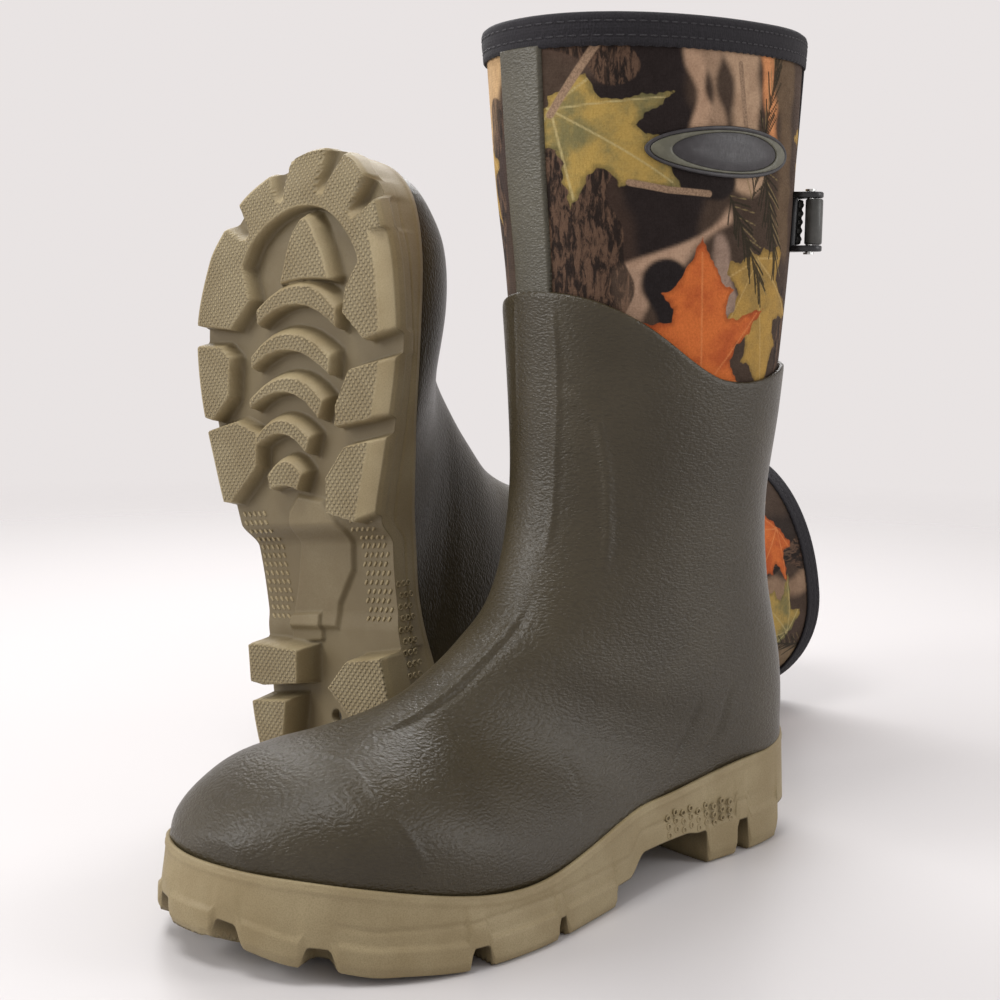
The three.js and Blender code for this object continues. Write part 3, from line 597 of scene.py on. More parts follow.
BOARD = knit_look("stiffener_board", (0.2, 0.15, 0.08), (0.34, 0.26, 0.15), 0.9, 0.0, 0.9, False)
FOAM = knit_look("midsole_foam", (0.08, 0.08, 0.085), (0.16, 0.16, 0.165), 0.95, 0.0, 1.2, False)

# ---------------------------------------------------------------- rubber shell


RIM_SECTION = 2.5  # about where the shell's rim lies
RIM_ROW = 260  # the row near it in the table of sections that the rim is looked up in


def even_sections(start, end, count):
    """Section numbers from start to end whose rings lie evenly far apart."""
    fine = np.linspace(start, end, 400)
    rings = form(fine[:, None], np.linspace(0, 2 * np.pi, 24, endpoint=False)[None])
    steps = np.linalg.norm(np.diff(rings, axis=0), axis=-1).mean(1)
    run = np.concatenate([[0], np.cumsum(steps)])
    return np.interp(np.linspace(0, run[-1], count), run, fine)


def line_up(points, normals, line, width, height, ends=0.12):
    """Raises a rounded ridge, or presses a crease, along a line of points, fading at its ends."""
    gap, along = to_line(points, line)
    fade = ease(along, 0, ends) * ease(1 - along, 0, ends)
    return points + normals * (height * np.exp(-((gap / width) ** 2)) * fade)[..., None]


# Moulded lines of the shell's outer side: points, width, height and how much of each end fades.
SHELL_LINES = (
    (
        [(257, 5, 73), (254, 22, 71), (256, 40, 64), (253, 50, 56), (249, 57, 45), (244, 58, 33)],
        1.1, 0.8, 0.2,
    ),
    ([(139, -12, 239), (137, -12, 221), (136, -13, 196), (138, -13, 165)], 0.8, 0.6, 0.1),
    (
        [(139, 10, 238), (137, 11, 214), (136, 11, 196), (136, 10, 173), (138, 11, 149), (143, 11, 133)],
        1.6, 0.75, 0.12,
    ),
    (
        [
            (137, 6, 203), (136, 13, 201), (131, 21, 196), (127, 26, 188), (124, 28, 168), (124, 29, 143),
            (128, 30, 123),
        ],
        2.2, 1.1, 0.2,
    ),
    (
        [(144, 12, 127), (159, 13, 106), (174, 13, 96), (191, 14, 86), (213, 15, 79), (240, 16, 75)],
        1.2, -0.7, 0.2,
    ),
    (
        [(146, 9, 128), (161, 10, 107), (176, 10, 97), (193, 11, 87), (215, 12, 80), (240, 13, 76)],
        1.6, 0.6, 0.2,
    ),
    ([(158, 38, 62), (156, 46, 49), (164, 56, 33)], 1.5, 0.5, 0.3),
    ([(82, 47, 76), (84, 46, 69), (90, 44, 56), (102, 45, 40)], 1.3, -1.0, 0.3),
    ([(61, 48, 80), (64, 47, 72), (70, 46, 56), (83, 44, 42)], 1.3, -1.0, 0.3),
)


def nose_ring(last, share):
    """A ring between the last section, at share 1, and the toe's tip, at share 0, on a rounded nose."""
    ring = TOE_TIP + (last - TOE_TIP) * share
    ring[..., 0] = last[..., 0] + (TOE_TIP[0] - last[..., 0]) * (1 - share * share)
    return ring


def shell_shape():
    """The moulded shell, from just inside its rim down the outside to the tip of the toe."""
    columns, rows = 400, 215
    angle = np.linspace(0, 2 * np.pi, columns, endpoint=False)
    fine = np.linspace(0, 5, 500)
    table = form(fine[:, None], angle[None])
    turn = turn_of(table[RIM_ROW])
    spread = np.linspace(-11, 11, 23)
    rim = np.mean([np.interp(np.abs(turn + k), *SHELL_RIM) for k in spread], axis=0)
    start = np.array([np.interp(-rim[c], -table[:, c, 2], fine) for c in range(columns)])
    first = RIM_SECTION
    share = (even_sections(first, LAST_SECTION, rows) - first) / (LAST_SECTION - first)
    t = start + (LAST_SECTION - start) * share[:, None]
    body = form(t, angle)
    normals = grid_normals(body)
    for line, width, height, ends in SHELL_LINES:
        body = line_up(body, normals, line, width, height, ends)
    nose = [nose_ring(body[-1], share) for share in (0.85, 0.65, 0.42, 0.2, 0.04)]
    inside = [form(start + 0.3 * k, angle, 2.75) for k in (1, 0)]
    lip = [form(start - 0.012, angle, 1.6), form(start - 0.008, angle, 0.7), form(start, angle, 0.15)]
    grid = np.concatenate([np.array(inside), np.array(lip), body[1:], np.array(nose)])
    return grid.reshape(-1, 3), [grid_faces(len(grid), columns), end_face(len(grid), columns)], {}


# ---------------------------------------------------------------- outsole

# The sole's outline from the heel's back round the outer side, as (forward, side).
OUTLINE = [
    (0, 0), (4, 26), (18, 42), (45, 49), (85, 49), (120, 52), (160, 61), (200, 68), (235, 66), (265, 54),
    (290, 31), (302, 2), (303, -21), (293, -42), (274, -56), (245, -64), (210, -63), (170, -52), (130, -40),
    (90, -39),
    (50, -44), (18, -39), (4, -23),
]


BOW_POINTS = 9


def bow(a, b, c):
    """Points of a gentle curve from a through b to c."""
    a, b, c = (np.array(p, float) for p in (a, b, c))
    share = np.linspace(0, 1, BOW_POINTS)[:, None]
    return [tuple(p) for p in a * (1 - share) + c * share + (b - (a + c) / 2) * 4 * share * (1 - share)]


# The curved lugs down the middle: the rear edge and the front edge, each from one end through its middle.
ARC_LUGS = [
    bow(*edges[:3]) + bow(*edges[3:])
    for edges in (
        [(242, -29), (245, -10), (244, 8), (247, 9), (278, -11), (245, -31)],
        [(226, 24), (234, -5), (219, -31), (234, -33), (248, -7), (239, 24)],
        [(206, 31), (214, 3), (199, -24), (213, -27), (227, 2), (218, 30)],
        [(188, 34), (195, 7), (180, -14), (193, -21), (207, 4), (198, 34)],
        [(170, 31), (176, 12), (165, -4), (177, -10), (188, 11), (180, 32)],
        [(150, 25), (152, 14), (149, 4), (160, -3), (169, 10), (162, 26)],
    )
]
# Ground lugs as (forward, side) outlines.
OUTER_LUGS = (
    [(267, 33), (240, 25), (227, 41), (233, 76), (256, 76), (268, 50)],
    [(223, 50), (216, 42), (196, 46), (185, 60), (190, 78), (226, 78)],
    [(187, 43), (180, 27), (162, 30), (145, 51), (146, 74), (182, 76)],
)
INNER_LUGS = (
    [(240, -36), (228, -33), (214, -46), (219, -78), (250, -78), (258, -50)],
    [(205, -35), (189, -24), (177, -22), (179, -45), (183, -76), (210, -76)],
    [(171, -28), (157, -14), (139, -12), (134, -31), (146, -70), (176, -70)],
)
HEEL_LUGS = (
    [(80, 37), (78, 12), (59, 14), (57, 40), (60, 60), (80, 60)],
    [(52, 58), (54, 22), (30, 28), (22, 58)],
    [(60, -3), (74, -18), (78, -56), (54, -56), (44, -18)],
    [(38, -14), (46, -30), (44, -56), (18, -56), (24, -22)],
    [(22, 18), (24, -14), (-4, -14), (-4, 18)],
)
# The toe's band of lugs: where its arc is centred, its inner radius, the degrees it reaches to either side,
# how far forward it starts, and the degrees at which scoops are cut out of it.
TOE_CENTRE = np.array([238.0, -6.0])
TOE_INNER = 40.0
TOE_REACH = 79
TOE_START = 236
TOE_SCOOPS = (-47, -17, 15, 47)
WALL = 2.0  # how far in from its edge a lug's side rises
KNURL_EDGE = 0.8  # over how much further the knurled face begins
RAMP = 4.5  # the curved lugs slope down over this length to their front edge
# The smooth tongue down the waist and the blank size plate on it.
TONGUE = [
    (150, 12), (147, -6), (132, -17), (112, -15), (96, -4), (84, -2), (84, 34), (104, 27), (126, 22),
    (142, 20),
]
PLATE = [(92, 30), (93, 9), (79, 9), (77, 31)]
TONGUE_RISE = 2.2
PLATE_RISE = 2.0
HEEL_HOLE = dict(forward=43, side=6, depth=6)


def tread_height(f):
    """How high the ground lugs' faces lie, which turn up towards the toe."""
    return smooth([230, 262, 285, SOLE_LENGTH], [0, 2, 6, 12], f)


def base_height(f):
    """How high the recesses between the lugs lie."""
    deep = HEEL_LUG_DEPTH
    return smooth([84, 94, 124, 136], [deep, deep + 1.5, deep + 1.5, LUG_DEPTH], f) + tread_height(f)


def feather_height(f):
    """How high the sidewall's top edge lies."""
    return smooth([0, 40, 110, 200, SOLE_LENGTH], [46.4, 41, 34, 22.6, 37.8], f)


def sole_sides(count):
    """The outline's outer and inner side, from heel to toe, each in even steps."""
    curve = catmull(OUTLINE, np.linspace(0, len(OUTLINE), 2400, endpoint=False), closed=True)
    toe = int(np.argmax(curve[:, 0]))
    halves = []
    for half in (curve[: toe + 1], np.concatenate([curve[toe:], curve[:1]])[::-1]):
        run = np.concatenate([[0], np.cumsum(np.linalg.norm(np.diff(half, axis=0), axis=1))])
        even = np.linspace(0, run[-1], count + 1)
        halves.append(np.stack([np.interp(even, run, half[:, k]) for k in (0, 1)], -1))
    return halves


def tread(flat, rim_gap):
    """Height of the underside at flat (forward, side) points, how much is knurled, and how deep it lies."""
    f, s = flat[..., 0], flat[..., 1]
    ground, base = tread_height(f), base_height(f)
    raised = np.zeros(f.shape)
    knurl = np.zeros(f.shape)
    for lug in ARC_LUGS:
        depth = inside_by(flat, lug)
        front = to_line(flat, lug[BOW_POINTS:])[0]
        up = ease(depth, 0, WALL) * (0.35 + 0.65 * ease(front, 0, RAMP))
        raised = np.maximum(raised, up)
        knurl = np.maximum(knurl, ease(depth, WALL, WALL + KNURL_EDGE) * ease(front, 4.2, 5.2))
    for lug in OUTER_LUGS + INNER_LUGS + HEEL_LUGS:
        depth = inside_by(flat, lug)
        raised = np.maximum(raised, ease(depth, 0, WALL))
        knurl = np.maximum(knurl, ease(depth, WALL, WALL + KNURL_EDGE))
    away = flat - TOE_CENTRE
    reach = np.linalg.norm(away, axis=-1)
    turn = np.degrees(np.arctan2(away[..., 1], away[..., 0]))
    band = np.minimum(reach - TOE_INNER, (TOE_REACH - np.abs(turn)) * np.radians(1) * reach)
    up = ease(band, 0, WALL)
    rib = ease(band, WALL, WALL + KNURL_EDGE)
    for middle in TOE_SCOOPS:
        off = np.abs(np.sin(np.radians(turn - middle))) * reach
        half = np.interp(reach, [46, 76], [2.0, 8.0])
        dip = ease(1.35 - off / half, 0, 0.7) * ease(reach, 45, 56)
        up = up * (1 - 0.95 * dip)
        rib = rib * (1 - ease(dip, 0.02, 0.15))
    toe = f > TOE_START
    raised = np.where(toe, np.maximum(raised, up), raised)
    knurl = np.where(toe, np.maximum(knurl, rib), knurl)
    # The faces' edges are bevelled: wide along the forefoot's inner side, narrow on the outer side.
    bevel = np.where((s < 0) & (f > 125) & (f < 262), np.maximum(0, 9 - rim_gap) * 0.42, 0)
    bevel = np.where(s > 0, np.maximum(0, 2 - rim_gap) * 0.4, bevel)
    knurl = knurl * ease(-bevel, -0.25, -0.02)
    height = base + (ground - base) * raised + bevel * raised
    height = height - TONGUE_RISE * ease(inside_by(flat, TONGUE), 0, 3.0) * (1 - raised)
    height = height - PLATE_RISE * ease(inside_by(flat, PLATE), 0, 0.9) * (1 - raised)
    hole = np.hypot(f - HEEL_HOLE["forward"], s - HEEL_HOLE["side"])
    height = height + HEEL_HOLE["depth"] * ease(-hole, -3.4, -2.2) * (1 - raised)
    recess = (height - ground) / np.maximum(base - ground, 1)
    return height, knurl, recess


def lip_lean(top, high):
    """How far the wall's top edge leans in to lie close round the shell."""
    ring = np.linspace(0, 2 * np.pi, 360, endpoint=False)
    body = form(np.linspace(4, LAST_SECTION, 420)[:, None], ring[None])
    nose = np.concatenate([nose_ring(body[-1], share) for share in np.linspace(0, 1, 60)])
    skin = np.concatenate([body.reshape(-1, 3), nose])
    lean = np.zeros_like(top)
    for k, (edge, up) in enumerate(zip(top, high)):
        level = skin[np.abs(skin[:, 2] - up) < 1.3][:, :2]
        away = level - edge
        gap = np.hypot(*away.T)
        nearest = int(np.argmin(gap))
        lean[k] = away[nearest] * max(gap[nearest] - 1.7, 0) / max(gap[nearest], 1e-6)
    return np.mean([np.roll(lean, k, 0) for k in range(-14, 15)], axis=0)


def outsole_shape():
    """The outsole: underside, sidewall and the cavity that the midsole fills, closed on a shared spine."""
    count, across, up = 350, 92, 34
    outer, inner = sole_sides(count)
    share = np.linspace(0, 1, count + 1)
    spine = np.stack([42 + 220 * share, 0.45 * (outer[:, 1] + inner[:, 1])], -1)
    rim = np.concatenate([outer[:-1], inner[:0:-1]])
    middle = np.concatenate([spine[:-1], spine[:0:-1]])
    columns = len(rim)
    forward = np.roll(rim, -1, 0) - np.roll(rim, 1, 0)
    out = np.stack([-forward[:, 1], forward[:, 0]], -1)
    out /= np.linalg.norm(out, axis=1, keepdims=True)
    out *= np.sign(((rim - middle) * out).sum(1, keepdims=True))
    r = np.linspace(0, 1, across)[:, None, None]
    flat = middle + (rim - middle) * r
    gap = np.linalg.norm(rim - middle, axis=1) * (1 - r[..., 0])
    height, knurl, recess = tread(flat, gap)
    bottom = np.concatenate([flat, height[..., None]], -1)
    # The sidewall, with the lugs' sides standing a little proud and two long moulded lines.
    f = rim[:, 0]
    low, high = height[-1], feather_height(f)
    lug = ease(1 - recess[-1], 0.2, 0.8)
    v = np.linspace(0, 1, up)[1:, None]
    level = low + (high - low) * v
    proud = 1.1 * lug * ease(base_height(f) + 3.0 - level, 0, 1.2) * ease(v, 0, 0.12)
    proud = proud * ease(f, 3, 16)
    line = base_height(f) + 8.5
    groove = -0.55 * np.exp(-(((level - line) / 0.7) ** 2)) * ease(f, 20, 60) * ease(-f, -288, -262)
    lip = 0.35 * np.exp(-(((level - high + 2.2) / 0.8) ** 2))
    narrow = rim * np.stack([np.ones((up - 1, columns)), 1 - (1 - FEATHER_SHRINK) * v * np.ones(columns)], -1)
    narrow = narrow + lip_lean(narrow[-1], high) * ease(v, 0.25, 1)[..., None]
    wall = np.concatenate([narrow + out * (proud + groove + lip)[..., None], level[..., None]], -1)
    inside = []
    for inset, drop in ((0.5, -0.35), (1.6, -0.2), (4.2, 3.0)):
        inside.append(np.concatenate([wall[-1, :, :2] - out * inset, (high - drop)[:, None]], -1))
    floor = base_height(f) + OUTSOLE_FLOOR
    inside.append(np.concatenate([wall[-1, :, :2] - out * 5.5, floor[:, None]], -1))
    grid = np.concatenate([bottom[1:], wall, np.array(inside)])
    rows = len(grid)
    # The middle of the underside and of the cavity floor close on the spine, which both sides share.
    spine_height, spine_knurl, spine_recess = tread(spine, np.full(len(spine), 40.0))
    spine_low = np.concatenate([spine, spine_height[:, None]], -1)
    spine_high = np.concatenate([spine, (base_height(spine[:, 0]) + OUTSOLE_FLOOR)[:, None]], -1)
    points = np.concatenate([grid.reshape(-1, 3), spine_low, spine_high])
    k = np.arange(columns)
    nearest = np.minimum(k, columns - k)
    after = (k + 1) % columns
    body = grid_faces(rows, columns)
    first = rows * columns + nearest
    low_fan = np.stack([first, k, after, first[after]], -1)
    tail = (rows - 1) * columns
    top = rows * columns + len(spine) + nearest
    high_fan = np.stack([tail + k, top, top[after], tail + after], -1)
    knurls = np.zeros(len(points))
    deeps = np.zeros(len(points))
    cells = (across - 1) * columns
    knurls[:cells] = knurl[1:].ravel()
    deeps[:cells] = recess[1:].ravel()
    spine_rows = slice(rows * columns, rows * columns + len(spine))
    knurls[spine_rows], deeps[spine_rows] = spine_knurl, spine_recess
    return points, [body, low_fan, high_fan], {"tread": knurls, "recess": deeps}


def tread_dots():
    """Moulded dashes beside the tongue, five rows on either side."""
    shapes = []
    down = np.array([0.0, 0.0, -1.0])
    for i in range(13):
        for j in range(5):
            f = 90 + 4.2 * i
            for s, lean in ((31 + 3.6 * j + (f - 90) * 0.13, 0.6), (-20 - 3.4 * j - (i % 2) * 1.5, -0.6)):
                flat = np.array([[f, s]])
                if inside_by(flat, TONGUE)[0] > -2 or inside_by(flat, OUTLINE)[0] < 2.5:
                    continue
                up = float(base_height(f)) - 0.1
                here = np.array([f, s, up])
                way = np.array([0.8, lean, 0.0])
                shapes.append(pill(here - way, here + way, 0.75, down, 0.9))
    return join(shapes)


def ring(middle, normal, radius, thickness, around=14, section=6):
    """A small moulded ring lying on a surface."""
    normal = normal / np.linalg.norm(normal)
    across = np.cross(normal, [0.0, 0.0, 1.0])
    across = across / np.linalg.norm(across)
    other = np.cross(normal, across)
    turn = np.linspace(0, 2 * np.pi, around, endpoint=False)
    way = np.cos(turn)[:, None] * across + np.sin(turn)[:, None] * other
    path = middle + way * radius
    circle = np.linspace(0, 2 * np.pi, section, endpoint=False)
    profile = np.stack([np.cos(circle), np.sin(circle)], -1) * thickness
    return sweep(path, way, np.tile(normal, (around, 1)), profile)


def heel_rings():
    """Rows of small moulded rings along both sides of the waist."""
    shapes = []
    outer, inner = sole_sides(300)
    for side, edge in ((1, outer), (-1, inner)):
        for i in range(9):
            for j in range(3):
                f = 64 + 5.2 * i
                up = base_height(f) + 2.0 + 3.6 * j + (i % 2) * 1.4
                near = edge[int(np.argmin(np.abs(edge[:, 0] - f)))]
                share = (up - base_height(f)) / (feather_height(f) - base_height(f))
                s = near[1] * (1 - (1 - FEATHER_SHRINK) * share)
                shapes.append(ring(np.array([f, s, float(up)]), np.array([0.0, side, 0.0]), 1.15, 0.42))
    return join(shapes)


# ---------------------------------------------------------------- printed neoprene shaft

SLEEVE_TOP = BOOT_HEIGHT - 1.5
SLEEVE_LOW = 198.0
GROUND_TONE = (0.062, 0.041, 0.029)
NEEDLES = 34  # needles on each stem
DEGREE = SHAFT_RADIUS * math.pi / 180  # millimetres round the shaft for one degree

# One half of a maple leaf, from its stalk to its tip, for a leaf one unit long.
HALF_LEAF = [
    (0, 0.0), (0.08, -0.03), (0.20, 0.01), (0.31, -0.02), (0.36, 0.05), (0.29, 0.14), (0.25, 0.21),
    (0.32, 0.31), (0.44, 0.37), (0.49, 0.44), (0.60, 0.52), (0.45, 0.51), (0.31, 0.47), (0.21, 0.48),
    (0.19, 0.56), (0.26, 0.66), (0.17, 0.70), (0.13, 0.78), (0.06, 0.88), (0, 1.0),
]
LEAF = HALF_LEAF + [(-x, y) for x, y in HALF_LEAF[-2:0:-1]]
LEAF_VEINS = [
    [(0, 0), (0, 0.9)],
    [(0, 0.03), (0.52, 0.5)],
    [(0, 0.03), (-0.52, 0.5)],
    [(0, 0.02), (0.45, 0.1)],
    [(0, 0.02), (-0.45, 0.1)],
]

# Printed leaves: kind, degrees round from the back, height of the stalk, length, direction in degrees from
# straight up towards the back, and width share.
LEAVES = (
    ("green_leaf", 173, 312, 54, 126, 0.86),
    ("orange_leaf", 121, 199, 64, -3, 1.04),
    ("yellow_leaf", 93, 256, 62, 168, 0.95),
    ("yellow_leaf", 206, 300, 44, -150, 0.9),
    ("orange_leaf", -40, 300, 48, 160, 0.9),
    ("yellow_leaf", -95, 240, 58, 20, 0.95),
    ("green_leaf", -70, 318, 46, 140, 1.0),
    ("orange_leaf", -128, 318, 42, -140, 0.9),
    ("green_leaf", 12, 232, 50, 30, 0.95),
    ("yellow_leaf", 40, 318, 44, -160, 0.9),
)
# Blurred woodland ground: from and to (degrees round, height), half width, softness, colour.
GROUND = (
    ((150, 345), (138, 262), 17, 6, (0.020, 0.014, 0.013)),
    ((133, 345), (124, 305), 5, 3, (0.44, 0.29, 0.19)),
    ((126, 345), (119, 305), 4, 4, (0.33, 0.22, 0.145)),
    ((111, 345), (101, 290), 9, 5, (0.42, 0.285, 0.185)),
    ((93, 345), (88, 300), 6, 4, (0.60, 0.26, 0.11)),
    ((176, 345), (160, 332), 9, 5, (0.085, 0.055, 0.04)),
    ((165, 285), (158, 200), 16, 6, (0.045, 0.028, 0.021)),
    ((146, 287), (118, 284), 6, 3, (0.018, 0.013, 0.012)),
    ((150, 247), (112, 270), 4.5, 3, (0.42, 0.28, 0.19)),
    ((149, 244), (147, 200), 4.5, 3, (0.36, 0.24, 0.165)),
    ((138, 248), (133, 200), 6, 3, (0.017, 0.013, 0.013)),
    ((116, 262), (110, 240), 5, 4, (0.30, 0.21, 0.16)),
    ((84, 345), (70, 262), 8, 6, (0.13, 0.085, 0.05)),
    ((62, 345), (58, 204), 6, 5, (0.08, 0.052, 0.038)),
    ((196, 345), (203, 300), 7, 5, (0.50, 0.33, 0.17)),
    ((192, 300), (205, 245), 7, 5, (0.05, 0.033, 0.027)),
    ((214, 300), (212, 240), 5, 4, (0.36, 0.23, 0.15)),
    ((240, 345), (236, 240), 13, 7, (0.032, 0.023, 0.019)),
    ((262, 345), (268, 240), 7, 6, (0.26, 0.17, 0.11)),
    ((285, 345), (280, 240), 8, 6, (0.07, 0.046, 0.034)),
    ((306, 345), (314, 240), 9, 6, (0.20, 0.14, 0.08)),
    ((332, 345), (330, 210), 10, 6, (0.034, 0.024, 0.02)),
    ((352, 345), (356, 205), 8, 6, (0.16, 0.11, 0.06)),
    ((20, 345), (26, 210), 9, 6, (0.05, 0.034, 0.027)),
    ((42, 345), (44, 205), 6, 5, (0.24, 0.16, 0.10)),
)
# Bark-textured trunks: from and to (degrees round, height), half width.
TRUNKS = (
    ((174, 345), (154, 330), 9),
    ((166, 288), (161, 200), 13),
    ((196, 312), (203, 250), 6),
    ((204, 256), (200, 240), 5),
    ((66, 240), (62, 205), 5),
    ((248, 345), (243, 240), 8),
    ((330, 345), (334, 210), 9),
    ((24, 300), (20, 210), 6),
    ((290, 300), (300, 240), 6),
)
# Twigs: lines of (degrees round, height).
TWIGS = (
    [(172, 309), (160, 333), (154, 343)],
    [(150, 283), (138, 280.5), (122, 279.5)],
    [(110, 330), (104, 300)],
    [(214, 262), (222, 290), (219, 318)],
    [(262, 292), (280, 280), (300, 284)],
    [(330, 300), (345, 318), (352, 340)],
    [(18, 262), (30, 285), (33, 320)],
)
# Pine sprays: the ends of each stem (degrees round, height), with needles fanned along it.
SPRAYS = (
    ((99, 278), (87, 335)), ((112, 279), (91, 246)), ((92, 290), (80, 256)), ((226, 300), (236, 250)),
    ((300, 338), (292, 288)), ((322, 270), (310, 225)), ((8, 330), (2, 280)), ((34, 268), (44, 222)),
)


def unroll(turn, up):
    """Flat millimetres on the unrolled shaft: to the back, and up."""
    return np.stack([-np.asarray(turn, float) * DEGREE, np.asarray(up, float)], -1)


def paint(turn, up):
    """The printed pattern at points of the shaft: ground colour, bark, and distances to what is drawn."""
    flat = unroll(turn, up)
    around = 360 * DEGREE

    def near(line):
        """Distance to a line on the shaft, also where it runs past the back seam."""
        line = np.array([unroll(a, b) for a, b in line])
        return np.minimum.reduce([to_line(flat + [k * around, 0], line)[0] for k in (-1, 0, 1)])

    ground = np.tile(np.array(GROUND_TONE), (*flat.shape[:-1], 1))
    across, height = flat[..., 0], flat[..., 1]
    wobble = 2.2 * np.sin(height / 9 + across / 23) + 1.4 * np.sin(height / 4.3 - across / 11)
    for start, end, half, soft, colour in GROUND:
        cover = ease(half + soft / 2 - near([start, end]) + wobble, 0, soft)
        ground += (np.array(colour) - ground) * cover[..., None]
    bark = np.zeros(flat.shape[:-1])
    for start, end, half in TRUNKS:
        bark = np.maximum(bark, ease(half - near([start, end]) + wobble, -1, 1))
    numbers = {"ground": ground, "bark": bark}
    for kind in ("green_leaf", "orange_leaf", "yellow_leaf"):
        cover = np.full(flat.shape[:-1], -50.0)
        vein = np.full(flat.shape[:-1], 50.0)
        for name, at_turn, at_up, length, lean, width in LEAVES:
            if name != kind:
                continue
            stalk = unroll(at_turn % 360, at_up)
            angle = math.radians(lean)
            axis = np.array([math.sin(angle), math.cos(angle)])
            side = np.array([math.cos(angle), -math.sin(angle)])
            away = flat - stalk
            away[..., 0] = (away[..., 0] + around / 2) % around - around / 2
            local = np.stack([away @ side / (length * width), away @ axis / length], -1)
            close = (np.abs(local[..., 0]) < 0.9) & (local[..., 1] > -0.2) & (local[..., 1] < 1.2)
            spot = local[close]
            x, y = spot[:, 0], spot[:, 1]
            ragged = 0.006 * np.sin(x * 47 + y * 31) + 0.004 * np.sin(x * 90 - y * 74)
            cover[close] = np.maximum(cover[close], (inside_by(spot, LEAF) + ragged) * length)
            for line in LEAF_VEINS:
                vein[close] = np.minimum(vein[close], to_line(spot, np.array(line))[0] * length)
        numbers[kind], numbers[kind + "_vein"] = cover, vein
    numbers["twigs"] = np.minimum.reduce([near(line) for line in TWIGS])
    needles, light = [], []
    for start, end in SPRAYS:
        needles.append((start, end))
        stem = unroll(*end) - unroll(*start)
        lean = math.atan2(stem[0], stem[1])
        for k in range(NEEDLES):
            share = k / (NEEDLES - 1)
            root = [start[j] + (end[j] - start[j]) * share for j in (0, 1)]
            angle = lean + (1 if k % 2 else -1) * rng.uniform(0.3, 0.75) * (1.2 - 0.7 * share)
            reach = rng.uniform(9, 14)
            tip = (root[0] - math.sin(angle) * reach / DEGREE, root[1] + math.cos(angle) * reach)
            (light if k % 4 == 0 else needles).append((tuple(root), tip))
    numbers["needles"] = np.minimum.reduce([near(line) for line in needles])
    numbers["needle_light"] = np.minimum.reduce([near(line) for line in light])
    return numbers


def tube(outer, inner):
    """A closed sleeve from an outer grid, top to bottom, and an inner one, top to bottom."""
    grid = np.concatenate([outer, inner[::-1]])
    rows, columns = grid.shape[:2]
    return grid.reshape(-1, 3), [grid_faces(rows, columns), closing_faces(rows, columns)]


def sleeve_shape():
    """The printed outer sleeve, with the pattern's numbers on its outer face."""
    columns, rows = 520, 172
    turn = 180 - np.arange(columns) * 360 / columns
    up = np.linspace(SLEEVE_TOP, SLEEVE_LOW, rows)[:, None]
    outer = on_shaft(turn[None], up, NEOPRENE_OUTER)
    numbers = paint(turn % 360 + 0 * up, up + 0 * turn)
    inner = on_shaft(turn[None], np.linspace(SLEEVE_TOP, SLEEVE_LOW, 12)[:, None], NEOPRENE_OUTER + 1.5)
    points, faces = tube(outer, inner)
    extra = len(points) - rows * columns
    values = {}
    for key, value in numbers.items():
        flat = value.reshape(rows * columns, -1)
        flat = np.concatenate([flat, np.tile(flat[-1:], (extra, 1))])
        values[key] = flat if value.ndim == 3 else flat[:, 0]
    return points, faces, values


def lining_shape():
    """The fleece inside, from the collar down into the toe."""
    columns, rows = 120, 110
    first, last = 1, 14.5  # sections
    angle = np.linspace(0, 2 * np.pi, columns, endpoint=False)
    fine = np.linspace(0, 3, 300)
    table = form(fine[:, None], angle[None], NEOPRENE_INNER)
    start = np.array([np.interp(-(SLEEVE_TOP - 0.4), -table[:, c, 2], fine) for c in range(columns)])
    share = (even_sections(first, last, rows) - first) / (last - first)
    t = start + (last - start) * share[:, None]
    points, faces = tube(form(t, angle, NEOPRENE_INNER - 1.4)[::6], form(t, angle, NEOPRENE_INNER))
    return points, faces, {}


def binding_shape():
    """The folded tape over the collar, puckered along its lower edge."""
    columns = 480
    turn = 180 - np.arange(columns) * 360 / columns
    low = BOOT_HEIGHT - BINDING_HEIGHT
    profile = [
        (2.5, low + 0.4), (1.7, low), (1.2, low + 0.7), (1.15, low + 2.6), (1.45, low + 3.9),
        (1.1, low + 5.2), (1.0, low + 7.6), (1.35, low + 9.2), (1.1, low + 10.4), (1.6, low + 11.9),
        (2.8, BOOT_HEIGHT - 0.2), (5.0, BOOT_HEIGHT), (7.2, BOOT_HEIGHT - 0.2), (8.4, low + 11.6),
        (8.8, low + 10), (8.7, low + 1), (8.0, low), (7.3, low + 0.6), (7.25, BOOT_HEIGHT - 2.2),
        (2.6, BOOT_HEIGHT - 2.2),
    ]
    pucker = 0.18 * np.sin(np.radians(turn) * 108)
    rows = [on_shaft(turn, up + (pucker if up < low + 2 else 0), inset) for inset, up in profile]
    grid = np.array(rows[::-1])
    points, faces = tube(grid[:-1], grid[-1:])
    return points, faces, {}


def stitch_row(up, inset, pitch=3.3, length=2.1, radius=0.36):
    """A row of stitches round the collar."""
    shapes = []
    count = int(360 * DEGREE / pitch)
    for k in range(count):
        middle = 360 * k / count
        half = length / 2 / DEGREE
        start, end = on_shaft(np.array([middle - half, middle + half]), up, inset)
        centre = (start + end) / 2
        normal = np.array([centre[0] - SHAFT_CENTRE, centre[1], 0])
        shapes.append(pill(start, end, radius, normal / np.linalg.norm(normal), 0.8, 4, 6))
    return shapes


# ---------------------------------------------------------------- trims on the shaft

STRIP_FORWARD = 140  # how far forward the front strip lies
BADGE_TURN = 112.0
BADGE_HALF_WIDTH = 36.5
GUSSET_TURN = 22
GUSSET_HEIGHTS = (222, 347)  # where the gusset's half widths are given
STRAP_HEIGHT = 271
STRAP_HALF_WIDTH = 9.5
FITTING_HEIGHTS = (283.5, 258.5)  # the strap anchor and the buckle frame, from top to bottom


